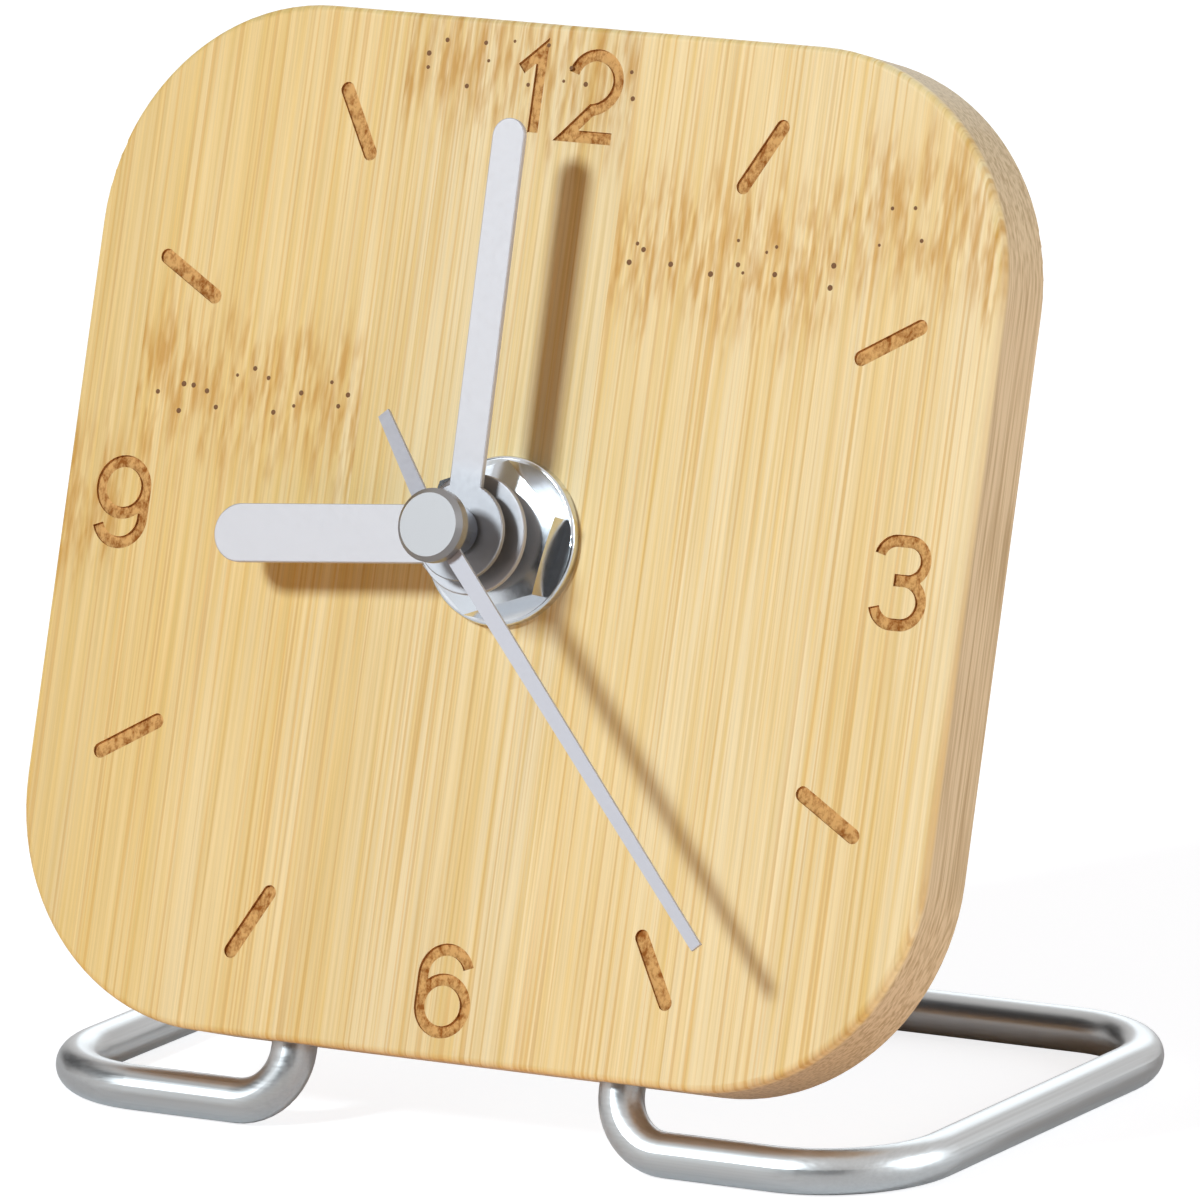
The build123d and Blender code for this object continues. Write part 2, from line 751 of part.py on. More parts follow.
turned_wheel(
    "motion_wheel", motion_axis,
    gears=[
        (motion_wheel_teeth, motion_module, motion_wheel_phase, motion_wheel_back, motion_wheel_front),
        (motion_pinion_teeth, hour_module, motion_pinion_phase, motion_wheel_front, hour_wheel_front),
    ],
    rounds=[],
    bores=[(motion_stud_radius + running_clearance, motion_wheel_back, hour_wheel_front)],
)
turned_wheel(
    "setting_arbor", setting_axis,
    gears=[(setting_pinion_teeth, motion_module, setting_phase,
            motion_wheel_back - pinion_overhang, setting_pinion_front)],
    rounds=[
        (pivot_radius, setting_pinion_front, setting_pinion_front + pivot_length),
        (setting_radius, knob_front - knob_bore_depth, motion_wheel_back - pinion_overhang),
    ],
)

# The setting knob, ridged for the finger, on the end of its arbor behind the cover
with BuildPart() as setting_knob:
    with BuildSketch(dial.offset(knob_back)):
        with Locations(setting_axis):
            Circle(knob_diameter / 2 - knob_ridge_height)
            with PolarLocations(knob_diameter / 2 - knob_ridge_height, knob_ridges):
                Circle(knob_ridge_height)
    extrude(amount=knob_thickness)
    with BuildSketch(dial.offset(knob_front)):
        with Locations(setting_axis):
            Circle(setting_radius + press_clearance)
    extrude(amount=-knob_bore_depth - press_clearance, mode=Mode.SUBTRACT)
finish(setting_knob, "setting_knob")

# The movement's case: an open box with a battery bay below and posts for the train
cover_screw_height = case_top - cover_screw_inset
cover_screw_places = [(side * (half_case - cover_screw_inset), cover_screw_height) for side in (-1, 1)]
pivot_posts = [
    (third_axis, third_pinion_front),
    (setting_axis, setting_pinion_front),
    (rotor_axis, rotor_pinion_front),
]
compartment_top = case_top - case_wall
compartment_height = compartment_top + partition_height
compartment_middle = (compartment_top - partition_height) / 2
lead_bottom = -partition_height
riser_front = board_back + lead_foot_width
notch_width = contact_thickness + wheel_gap

with BuildPart() as movement_case:
    with BuildSketch(dial.offset(case_rim)):
        with Locations((0, case_middle)):
            RectangleRounded(case_width, case_height, case_corner_radius)
        with Locations((0, compartment_middle)):
            Rectangle(2 * inner_half_width, compartment_height, mode=Mode.SUBTRACT)
        with Locations((0, battery_axis_height)):
            Rectangle(2 * inner_half_width, bay_height, mode=Mode.SUBTRACT)
    extrude(amount=case_floor - case_rim)
    with BuildSketch(dial.offset(case_floor)):
        with Locations((0, case_middle)):
            RectangleRounded(case_width, case_height, case_corner_radius)
    extrude(amount=case_front_wall)
    for axis, pivot_front in pivot_posts:
        with BuildSketch(dial.offset(pivot_front + post_gap)):
            with Locations(axis):
                Circle(post_radius)
        extrude(amount=case_floor - pivot_front - post_gap)
        with BuildSketch(dial.offset(pivot_front + post_gap)):
            with Locations(axis):
                Circle(pivot_radius + running_clearance)
        extrude(amount=pivot_length, mode=Mode.SUBTRACT)
    with BuildSketch(dial.offset(motion_wheel_back)):
        with Locations(motion_axis):
            Circle(motion_stud_radius)
    extrude(amount=case_floor - motion_wheel_back)
    for places, top in ((plate_post_places, plate_front), (core_screw_places, core_front)):
        with BuildSketch(dial.offset(top)):
            with Locations(*places):
                Circle(plate_post_diameter / 2)
        extrude(amount=case_floor - top)
        with BuildSketch(dial.offset(top)):
            with Locations(*places):
                Circle(screw_diameter / 2 + press_clearance)
        extrude(amount=screw_length, mode=Mode.SUBTRACT)
    with BuildSketch(dial.offset(case_rim)):
        with Locations(*cover_screw_places):
            Circle(plate_post_diameter / 2)
    extrude(amount=case_floor - case_rim)
    with BuildSketch(dial.offset(case_rim)):
        with Locations(*cover_screw_places):
            Circle(screw_diameter / 2 + press_clearance)
    extrude(amount=screw_length, mode=Mode.SUBTRACT)
    with BuildSketch(dial.offset(plate_back)):
        with Locations(*board_stake_places):
            Circle(board_post_diameter / 2)
    extrude(amount=case_floor - plate_back)
    with BuildSketch(dial.offset(board_back - board_stake_height)):
        with Locations(*board_stake_places):
            Circle(board_stake_diameter / 2)
    extrude(amount=plate_back - board_back + board_stake_height)
    with BuildSketch(dial.offset(case_floor)):
        Circle(thread_radius + press_clearance)
    extrude(amount=case_front_wall, mode=Mode.SUBTRACT)
    with BuildSketch(dial.offset(case_rim)):
        for side in (-1, 1):
            with Locations((side * (inner_half_width - notch_width / 2), bay_top + partition_wall / 2)):
                Rectangle(notch_width, partition_wall)
    extrude(amount=riser_front + wheel_gap - case_rim, mode=Mode.SUBTRACT)
finish(movement_case, "movement_case")

# Rear cover over the train, with a lip inside the case and a bearing for the rotor
cover_height = case_top - bay_top
cover_middle = (case_top + bay_top) / 2
rotor_boss_front = rotor_shaft_back - post_gap
lip_width = 2 * (inner_half_width - cover_lip_clearance)
lip_height = compartment_height - 2 * cover_lip_clearance

with BuildPart() as rear_cover:
    with BuildSketch(dial.offset(cover_back)):
        with Locations((0, cover_middle)):
            RectangleRounded(case_width, cover_height, case_corner_radius)
    extrude(amount=cover_thickness)
    with BuildSketch(dial.offset(case_rim)):
        with Locations((0, compartment_middle)):
            Rectangle(lip_width, lip_height)
            Rectangle(lip_width - 2 * cover_lip_wall, lip_height - 2 * cover_lip_wall, mode=Mode.SUBTRACT)
    extrude(amount=cover_lip_depth)
    with BuildSketch(dial.offset(case_rim)):
        with Locations(rotor_axis):
            Circle(post_radius)
    extrude(amount=rotor_boss_front - case_rim)
    with BuildSketch(dial.offset(rotor_boss_front)):
        with Locations(rotor_axis):
            Circle(pivot_radius + running_clearance)
    extrude(amount=-pivot_length, mode=Mode.SUBTRACT)
    with BuildSketch(dial.offset(cover_back)):
        with Locations(setting_axis):
            Circle(setting_radius + running_clearance)
        with Locations(*cover_screw_places):
            Circle(screw_diameter / 2 + running_clearance)
    extrude(amount=cover_thickness, mode=Mode.SUBTRACT)
finish(rear_cover, "rear_cover")


def screws(label, places, seat):
    """Slotted screws with their heads on a seat, driven towards the dial."""
    with BuildPart() as group:
        with BuildSketch(dial.offset(seat)):
            with Locations(*places):
                Circle(screw_diameter / 2)
        extrude(amount=screw_length)
        with BuildSketch(dial.offset(seat)):
            with Locations(*places):
                Circle(screw_head_diameter / 2)
        extrude(amount=-screw_head_thickness)
        with BuildSketch(dial.offset(seat - screw_head_thickness)):
            with Locations(*places):
                Rectangle(screw_head_diameter, screw_slot_width)
        extrude(amount=screw_head_thickness / 2, mode=Mode.SUBTRACT)
    finish(group, label)


screws("cover_screws", cover_screw_places, cover_back)
screws("plate_screws", plate_post_places, plate_back)
screws("core_screws", core_screw_places, stator_back)

# The train plate, which holds the rear pivots and carries the motor
with BuildPart() as train_plate:
    with BuildSketch(dial.offset(plate_back)):
        with Locations((0, (plate_top + plate_bottom) / 2)):
            RectangleRounded(plate_width, plate_top - plate_bottom, plate_corner_radius)
        with Locations(hand_axis, third_axis):
            Circle(pivot_radius + running_clearance, mode=Mode.SUBTRACT)
        with Locations(intermediate_axis):
            Circle(intermediate_pin_radius + press_clearance, mode=Mode.SUBTRACT)
        with Locations(rotor_axis):
            Circle(magnet_radius + rotor_air_gap, mode=Mode.SUBTRACT)
        with Locations(setting_axis):
            Circle(setting_radius + plate_hole_clearance, mode=Mode.SUBTRACT)
        with Locations(*plate_post_places):
            Circle(screw_diameter / 2 + running_clearance, mode=Mode.SUBTRACT)
    extrude(amount=plate_thickness)
finish(train_plate, "train_plate")

# Stepping motor: stator with the rotor's hole, core, bobbin and winding
arm_middle = (core_length - stator_arm_width) / 2
arm_top = coil_height + core_width / 2
bobbin_half = arm_middle - stator_arm_width / 2 - wheel_gap
core_middle = (core_front + plate_back) / 2
bobbin_tube_radius = core_width / 2 + bobbin_wall
bobbin_start = Plane(
    origin=dial.from_local_coords((-bobbin_half, coil_height, core_middle)),
    x_dir=dial.y_dir,
    z_dir=dial.x_dir,
)

with BuildPart() as stator:
    with BuildSketch(dial.offset(stator_back)):
        with Locations((0, rotor_axis[1])):
            Rectangle(core_length, stator_bar_width)
        for side in (-1, 1):
            with Locations((side * arm_middle, (rotor_axis[1] + arm_top) / 2)):
                Rectangle(stator_arm_width, arm_top - rotor_axis[1])
        with Locations(rotor_axis):
            Circle(magnet_radius + rotor_air_gap, mode=Mode.SUBTRACT)
        with Locations(*core_screw_places):
            Circle(screw_diameter / 2 + running_clearance, mode=Mode.SUBTRACT)
    extrude(amount=stator_thickness)
finish(stator, "stator")

with BuildPart() as coil_core:
    with BuildSketch(dial.offset(plate_back)):
        with Locations((0, coil_height)):
            Rectangle(core_length, core_width)
        with Locations(*core_screw_places):
            Circle(screw_diameter / 2 + running_clearance, mode=Mode.SUBTRACT)
    extrude(amount=core_thickness)
finish(coil_core, "coil_core")

with BuildPart() as coil_bobbin:
    with BuildSketch(bobbin_start):
        Circle(bobbin_tube_radius)
    extrude(amount=2 * bobbin_half)
    for start, length in ((0, bobbin_flange_thickness), (2 * bobbin_half, -bobbin_flange_thickness)):
        with BuildSketch(bobbin_start.offset(start)):
            Circle(bobbin_flange_diameter / 2)
        extrude(amount=length)
    with BuildSketch(bobbin_start):
        Rectangle(core_width + 2 * running_clearance, core_thickness + 2 * running_clearance)
    extrude(amount=2 * bobbin_half, mode=Mode.SUBTRACT)
finish(coil_bobbin, "coil_bobbin")

with BuildPart() as coil_winding:
    with BuildSketch(bobbin_start.offset(bobbin_flange_thickness)):
        Circle(coil_diameter / 2)
        Circle(bobbin_tube_radius + press_clearance, mode=Mode.SUBTRACT)
    extrude(amount=2 * (bobbin_half - bobbin_flange_thickness))
finish(coil_winding, "coil_winding")

# Circuit board with its chip under a drop of resin and the quartz crystal in its can
with BuildPart() as circuit_board:
    with BuildSketch(dial.offset(board_back)):
        with Locations((board_middle, (board_top + board_bottom) / 2)):
            Rectangle(board_width, board_top - board_bottom)
        with Locations(*board_stake_places):
            Circle(board_stake_diameter / 2 + running_clearance, mode=Mode.SUBTRACT)
    extrude(amount=board_thickness)
finish(circuit_board, "circuit_board")

with BuildPart() as chip:
    with BuildSketch(dial.offset(board_back)):
        with Locations((board_middle, chip_place)):
            Circle(chip_diameter / 2)
    extrude(amount=-chip_height)
    fillet(faces().sort_by(Axis(dial.origin, dial.z_dir))[0].edges(), chip_edge_round)
finish(chip, "chip")

crystal_depth = board_back - crystal_diameter / 2
crystal_bottom = crystal_height - crystal_length / 2
crystal_start = Plane(
    origin=dial.from_local_coords((board_middle, crystal_bottom, crystal_depth)),
    x_dir=dial.x_dir,
    z_dir=dial.y_dir,
)
with BuildPart() as quartz_crystal:
    with BuildSketch(crystal_start):
        Circle(crystal_diameter / 2)
    extrude(amount=crystal_length)
    fillet(faces().sort_by(Axis(dial.origin, dial.y_dir))[-1].edges(), crystal_edge_round)
finish(quartz_crystal, "quartz_crystal")

# Battery and its contacts
battery_right = inner_half_width - contact_thickness - contact_gap
battery_left = battery_right - battery_length
can_length = battery_length - battery_nub_length
battery_start = Plane(
    origin=dial.from_local_coords((battery_left, battery_axis_height, battery_axis_depth)),
    x_dir=dial.y_dir,
    z_dir=dial.x_dir,
)
can_radius = battery_diameter / 2 - battery_sleeve_wall

with BuildPart() as battery_cell:
    with BuildSketch(battery_start):
        Circle(can_radius - press_clearance)
    extrude(amount=can_length)
    chamfer(edges().filter_by(GeomType.CIRCLE), battery_rim / 2)
    with BuildSketch(battery_start.offset(can_length)):
        Circle(battery_nub_diameter / 2)
    extrude(amount=battery_nub_length)
finish(battery_cell, "battery_cell")

with BuildPart() as battery_sleeve:
    with BuildSketch(battery_start.offset(battery_rim)):
        Circle(battery_diameter / 2)
        Circle(can_radius, mode=Mode.SUBTRACT)
    extrude(amount=can_length - 2 * battery_rim)
finish(battery_sleeve, "battery_sleeve")

contact_front = battery_axis_depth + contact_width / 2
contact_back = battery_axis_depth - contact_width / 2
lead_top = lead_bottom + lead_width
riser_back = board_back - contact_thickness
tongue_wall = contact_thickness / 2 - inner_half_width
foot_top = board_bottom + lead_foot_length
foot_reach = inner_half_width - board_right + lead_foot_width

with BuildPart() as positive_contact:
    with BuildSketch(dial.offset(contact_back)):
        with Locations((-tongue_wall, battery_axis_height)):
            Rectangle(contact_thickness, contact_width)
    extrude(amount=contact_width)
    with BuildSketch(dial.offset(riser_back)):
        with Locations((-tongue_wall, battery_axis_height)):
            Rectangle(contact_thickness, foot_top - battery_axis_height, align=(Align.CENTER, Align.MIN))
    extrude(amount=lead_foot_width)
    with BuildSketch(dial.offset(riser_back)):
        with Locations((inner_half_width, board_bottom)):
            Rectangle(foot_reach, lead_foot_length, align=(Align.MAX, Align.MIN))
    extrude(amount=contact_thickness)
finish(positive_contact, "positive_contact")

tongue_bottom = battery_axis_height - tongue_width / 2
tongue_plane = Plane(
    origin=dial.from_local_coords((0, tongue_bottom, 0)), x_dir=dial.x_dir, z_dir=dial.y_dir
)
tongue_tip = battery_left - contact_gap - contact_thickness
lead_length = inner_half_width + board_left + lead_foot_width

with BuildPart() as negative_contact:
    with BuildSketch(dial.offset(contact_back)):
        with Locations((tongue_wall, battery_axis_height)):
            Rectangle(contact_thickness, contact_width)
    extrude(amount=contact_width)
    with BuildSketch(tongue_plane):
        with BuildLine():
            Polyline(
                (tongue_wall, -contact_back - contact_thickness / 2),
                (tongue_tip, -battery_axis_depth),
                (tongue_wall, -contact_front + contact_thickness / 2),
            )
        trace(line_width=contact_thickness)
    extrude(amount=tongue_width)
    with BuildSketch(dial.offset(riser_back)):
        with Locations((tongue_wall, battery_axis_height)):
            Rectangle(contact_thickness, lead_top - battery_axis_height, align=(Align.CENTER, Align.MIN))
    extrude(amount=lead_foot_width)
    with BuildSketch(dial.offset(riser_back)):
        with Locations((-inner_half_width, lead_bottom)):
            Rectangle(lead_length, lead_width, align=(Align.MIN, Align.MIN))
        with Locations((board_left, lead_bottom)):
            Rectangle(lead_foot_width, foot_top - lead_bottom, align=(Align.MIN, Align.MIN))
    extrude(amount=contact_thickness)
finish(negative_contact, "negative_contact")
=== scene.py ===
# Small desk clock: a leaning bamboo panel with a burnt dial, silver hands and a bent wire stand, in a studio.
import json
from math import cos, radians, sin
import bmesh
import bpy
from mathutils import Matrix, Quaternion, Vector


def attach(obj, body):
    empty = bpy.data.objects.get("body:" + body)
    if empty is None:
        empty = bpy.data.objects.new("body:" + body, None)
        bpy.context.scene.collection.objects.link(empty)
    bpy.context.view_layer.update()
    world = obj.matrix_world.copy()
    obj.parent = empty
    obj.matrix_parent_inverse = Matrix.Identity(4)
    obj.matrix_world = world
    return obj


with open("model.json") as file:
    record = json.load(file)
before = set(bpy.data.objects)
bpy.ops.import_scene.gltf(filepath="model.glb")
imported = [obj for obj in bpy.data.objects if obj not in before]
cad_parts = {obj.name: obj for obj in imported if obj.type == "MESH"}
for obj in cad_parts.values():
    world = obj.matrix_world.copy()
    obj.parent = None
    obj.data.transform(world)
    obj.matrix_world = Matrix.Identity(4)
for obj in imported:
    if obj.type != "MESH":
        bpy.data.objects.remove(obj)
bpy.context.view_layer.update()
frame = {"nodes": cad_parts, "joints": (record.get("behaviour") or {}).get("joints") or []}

bl_info = {
    "name": "Bamboo Desk Clock",
    "version": (1, 0, 0),
    "blender": (4, 5, 0),
    "location": "View3D > Sidebar > Clock",
    "description": "Dresses a bamboo desk clock and sets up its studio",
    "category": "Object",
}

MM = 0.001
NODES = frame["nodes"]

# The dial's own axes: to the right, up the leaning panel, and out to the viewer. FACE is the dial's middle.
HAND_HINGE = next(joint for joint in frame["joints"] if joint["name"] == "minute_turn")
OUT = -Vector(HAND_HINGE["axis"])
RIGHT = Vector((1, 0, 0))
UP = OUT.cross(RIGHT)
HINGE_POINT = Vector(HAND_HINGE["pos_m"])
FACE_HEIGHT = max((vertex.co - HINGE_POINT).dot(OUT) for vertex in NODES["bamboo_panel"].data.vertices)
FACE = HINGE_POINT + OUT * FACE_HEIGHT
TO_DIAL = Matrix((RIGHT, UP, OUT))

# Height of each bamboo strip's node above the dial's middle. Strip 0 starts at the first glue line.
NODE_HEIGHTS = {0: 0.0108, 1: 0.0412, 2: 0.0262, 3: 0.0306}

# The engraving: the depth of its floor, a depth that only other cuts reach, and a radius that holds it all.
ENGRAVED_FLOOR = 0.00025
ENGRAVED_DEEPEST = 0.0006
DIAL_RADIUS = 0.0444


def dial_point(across, up, out):
    """The point that far across, up and out from the dial's middle, in metres."""
    return FACE + RIGHT * across + UP * up + OUT * out


def dial_box(node):
    """Lowest and highest reach of a CAD node along the dial's axes, in metres."""
    places = [TO_DIAL @ (vertex.co - FACE) for vertex in NODES[node].data.vertices]
    low = Vector([min(place[axis] for place in places) for axis in range(3)])
    high = Vector([max(place[axis] for place in places) for axis in range(3)])
    return low, high


def linear(code):
    """Linear RGB of an sRGB hex colour."""
    parts = [int(code[at:at + 2], 16) / 255 for at in (1, 3, 5)]
    return [part / 12.92 if part <= 0.04045 else ((part + 0.055) / 1.055) ** 2.4 for part in parts]


def colour(code, name, description):
    """A colour setting with that sRGB hex colour as its default."""
    return bpy.props.FloatVectorProperty(
        name=name, description=description, subtype="COLOR", size=3, min=0, max=1, default=linear(code))


def length(metres, name, description):
    """A length setting."""
    return bpy.props.FloatProperty(
        name=name, description=description, unit="LENGTH", default=metres, precision=5)


def angle(degrees, name, description):
    """An angle setting."""
    return bpy.props.FloatProperty(
        name=name, description=description, subtype="ANGLE", default=radians(degrees))


def number(value, name, description):
    """A plain number setting."""
    return bpy.props.FloatProperty(name=name, description=description, default=value)


class BambooSettings(bpy.types.PropertyGroup):
    strip_width: length(0.02295, "Strip width", "Width of one glued bamboo strip")
    first_joint: length(-0.0391, "First joint", "Where the first glue line lies across the dial")
    line_width: length(0.0005, "Line width", "Width that all fibres are scaled from")
    line_length: length(0.045, "Line length", "Length that all fibres are scaled from")
    node_reach: length(0.0095, "Node reach", "How far a node's brown fibres run up and down")
    node_core: length(0.002, "Node core", "How far a node is brown throughout")
    node_ragged: length(0.009, "Node raggedness", "How far a node's edge wanders up and down")
    ragged_width: length(0.0011, "Ragged width", "Width of one step in a node's edge")
    ragged_length: length(0.026, "Ragged length", "Height over which the steps in a node's edge change")
    fleck_width: length(0.00058, "Fleck width", "Width of the brown fibres round a node")
    fleck_length: length(0.0042, "Fleck length", "Length of the brown fibres round a node")
    pits_across: bpy.props.IntProperty(
        name="Pits across", description="Places for pits across one strip", default=9)
    pit_size: length(0.00024, "Pit size", "Radius of the dark pits on the nodes")
    pit_row_low: length(-0.0014, "Low pit row", "Height of the lower row of pits from the node's middle")
    pit_row_high: length(0.0009, "High pit row", "Height of the upper row of pits from the node's middle")
    pit_shift_across: length(0.0012, "Pit shift across", "How far a pit strays sideways")
    pit_shift_along: length(0.0011, "Pit shift along", "How far a pit strays up or down")
    pit_edge: length(0.004, "Pit edge", "Width at the panel's sides that has no pits")
    pale: colour("#F0DBAA", "Pale", "Lightest bamboo between the fibres")
    warm: colour("#E8CB8A", "Warm", "Broad warmer zones")
    amber: colour("#E1BE6E", "Amber", "Soft amber streaks")
    line: colour("#D3A24C", "Line", "Thin brown fibres")
    node: colour("#C6923A", "Node", "Short brown fibres round a node")
    side: colour("#D8C19C", "Side", "Sawn edge of the panel")
    side_dark: colour("#B59A72", "Side dark", "Fibre ends in the sawn edge")
    burnt: colour("#D9AA6A", "Burnt", "Burnt floor of the engraving")
    charred: colour("#955A22", "Charred", "Walls of the engraving and the darkest burn")
    pit: colour("#805426", "Pit", "Pits on the nodes")


class MetalSettings(bpy.types.PropertyGroup):
    hand: colour("#BFBCBE", "Hands", "Hour and minute hands")
    second: colour("#B5B3B8", "Second hand", "Thin second hand")
    cap: colour("#959190", "Cap", "Cap of the second hand")
    hub: colour("#A6A9AF", "Hub", "Hub of the second hand")
    chrome: colour("#DDDFE3", "Chrome", "Nut, washer and nickelled bush")
    wire: colour("#CECDCC", "Wire", "Drawn steel wire of the stand")
    brass: colour("#D6BC7E", "Brass", "Minute pipe")
    steel: colour("#B4B6BA", "Steel", "Screws, arbors and contacts")
    iron: colour("#8E9196", "Iron", "Motor sheet iron")
    copper: colour("#A8542A", "Copper", "Enamelled coil wire")
    magnet: colour("#3A3A3D", "Magnet", "Sintered rotor magnet")
    can: colour("#C9CBCF", "Can", "Battery and crystal cans")
    # Round a hand's eye the lacquer gives way to bare metal, which is also painted darker there as shade from
    # the cap and hub.
    bare_shade_radius: length(0.0044, "Bare radius", "Reach of the bare metal round a hand's eye")
    lacquer_radius: length(0.0062, "Lacquer radius", "Where a hand's full lacquer starts")


class PlasticSettings(bpy.types.PropertyGroup):
    case: colour("#1B1B1D", "Case", "Movement case, cover and knob")
    plate: colour("#3B3C40", "Plate", "Train plate")
    wheel: colour("#E9E6DC", "Wheels", "Moulded train wheels")
    bobbin: colour("#DAD7C8", "Bobbin", "Coil bobbin")
    rubber: colour("#161616", "Rubber", "Gasket")
    board: colour("#1F5C36", "Board", "Solder mask")
    trace: colour("#3E8550", "Trace", "Copper under the solder mask")
    resin: colour("#0E0E10", "Resin", "Drop over the chip")
    wrap: colour("#2B303B", "Wrap", "Battery wrap")
    band: colour("#B9BCC2", "Band", "Plain band of the battery wrap")
    band_width: length(0.0125, "Band width", "Width of the plain band")
    arrow_gap: length(0.0012, "Arrow gap", "Gap between the knob and the turn arrow")
    arrow_stroke: length(0.0009, "Arrow stroke", "Width of the turn arrow's line")
    arrow_spread: length(0.0011, "Arrow spread", "How far the head spreads on each side of the line")
    arrow_height: length(0.00025, "Arrow height", "How far the turn arrow stands out")
    sign_place: length(0.018, "Sign place", "Distance of the pole signs from the middle of the bay")
    sign_arm: length(0.0018, "Sign arm", "Half the length of a pole sign's bars")
    sign_bar: length(0.0004, "Sign bar", "Half the width of a pole sign's bars")
    sign_height: length(0.00015, "Sign height", "How far the pole signs stand out")
    bay_clearance: length(0.00025, "Bay clearance", "Room between the battery and the floor of its bay")


class StageSettings(bpy.types.PropertyGroup):
    floor: colour("#F4F4F5", "Floor", "Table and backdrop")
    flag: colour("#1A1A1C", "Flag", "Dark cards the polished metal reflects")
    lamp_tint: colour("#E7F6FF", "Lamp tint", "Cool colour of the lamps")
    warm_tint: colour("#FFCEAA", "Warm tint", "Warm colour of the light that reaches the shadows")
    floor_size: length(6.0, "Floor size", "Side of the table")
    key_power: number(76, "Key power", "Watts of the key light")
    key_size: length(0.5, "Key size", "Side of the key light")
    key_distance: length(3.0, "Key distance", "Distance of the key light from the dial")
    fill_power: number(33, "Fill power", "Watts of the light on the right edge")
    back_power: number(7, "Back power", "Watts of the light on the back")
    fill_size: length(1.2, "Fill size", "Side of the fill and back lights")
    fill_distance: length(2.2, "Fill distance", "Distance of the fill and back lights from the dial")
    ambient: number(0.15, "Ambient", "Light that the white surround casts")
    surround: number(0.85, "Surround", "Brightness of the surround in metal")
    floor_glow: number(0.9, "Floor glow", "Light of the lit table itself")
    floor_shade: number(0.4, "Floor shade", "Share of the shadows that shows")
    lens: number(450, "Lens", "Focal length in millimetres")
    azimuth: angle(30.817, "Azimuth", "Camera angle to the right of the front")
    elevation: angle(12.327, "Elevation", "Camera angle above the table")
    roll: angle(-1.171, "Roll", "Camera turn about its view")
    distance: length(1.2908, "Distance", "Camera distance from the point it aims at")
    aim: bpy.props.FloatVectorProperty(
        name="Aim", description="Point the camera looks at", subtype="TRANSLATION", unit="LENGTH",
        default=(0.00751, -0.01254, 0.04631))


def add(tree, kind, inputs=None, **attributes):
    """A new node of that kind with its attributes set and its inputs filled or linked."""
    node = tree.nodes.new(kind)
    for name, value in attributes.items():
        setattr(node, name, value)
    for key, value in (inputs or {}).items():
        if isinstance(value, bpy.types.NodeSocket):
            tree.links.new(value, node.inputs[key])
        else:
            node.inputs[key].default_value = value
    return node


def rgba(setting):
    """A colour setting as a colour socket's value."""
    return (*setting, 1)


def surface(name, **inputs):
    """A new material: itself, its tree, its surface node and the place on the dial's axes in millimetres."""
    material = bpy.data.materials.new(name)
    material.use_nodes = True
    tree = material.node_tree
    tree.nodes.clear()
    values = {key.replace("_", " "): value for key, value in inputs.items()}
    shader = add(tree, "ShaderNodeBsdfPrincipled", values)
    add(tree, "ShaderNodeOutputMaterial", {"Surface": shader.outputs[0]})
    place = add(tree, "ShaderNodeMapping", {
        "Vector": add(tree, "ShaderNodeTexCoord").outputs["Object"],
        "Location": -(TO_DIAL @ FACE) / MM,
        "Rotation": TO_DIAL.to_euler(),
        "Scale": (1 / MM, 1 / MM, 1 / MM),
    })
    return material, tree, shader, place.outputs[0]


def fibres(tree, place, size, detail=2.0, roughness=0.5):
    """Noise stretched to grains of that size in millimetres along the dial's axes."""
    finer = [1 / part for part in size]
    scaled = add(tree, "ShaderNodeVectorMath", {0: place, 1: finer}, operation="MULTIPLY")
    return add(tree, "ShaderNodeTexNoise", {
        "Vector": scaled.outputs[0], "Scale": 1.0, "Detail": detail, "Roughness": roughness}).outputs[0]


def from_axis(tree, place):
    """Distance from the hands' axis in millimetres."""
    flat = add(tree, "ShaderNodeVectorMath", {0: place, 1: (1, 1, 0)}, operation="MULTIPLY").outputs[0]
    return add(tree, "ShaderNodeVectorMath", {0: flat}, operation="LENGTH").outputs["Value"]


def give_grain(tree, shader, grain, tint, rough, tone, bump):
    """Lets a grain drift a surface's gloss, and its height by bump millimetres. Returns its colour."""
    gloss = add(tree, "ShaderNodeMapRange", {0: grain, 3: rough * 0.8, 4: rough * 1.2})
    tree.links.new(gloss.outputs[0], shader.inputs["Roughness"])
    if bump:
        relief = add(tree, "ShaderNodeBump", {"Height": grain, "Distance": bump * MM, "Strength": 1.0})
        tree.links.new(relief.outputs[0], shader.inputs["Normal"])
    darker = [part * (1 - tone) for part in tint]
    return add(tree, "ShaderNodeMix", {0: grain, 6: rgba(darker), 7: rgba(tint)}, data_type="RGBA").outputs[2]


def grained(name, tint, metallic, rough, size, tone, bump=0.0):
    """A material with a grain of that size in millimetres, which drifts its tone, gloss and height."""
    material, tree, shader, place = surface(name, Metallic=metallic)
    grain = fibres(tree, place, size, detail=3.0)
    toned = give_grain(tree, shader, grain, tint, rough, tone, bump)
    tree.links.new(toned, shader.inputs["Base Color"])
    return material


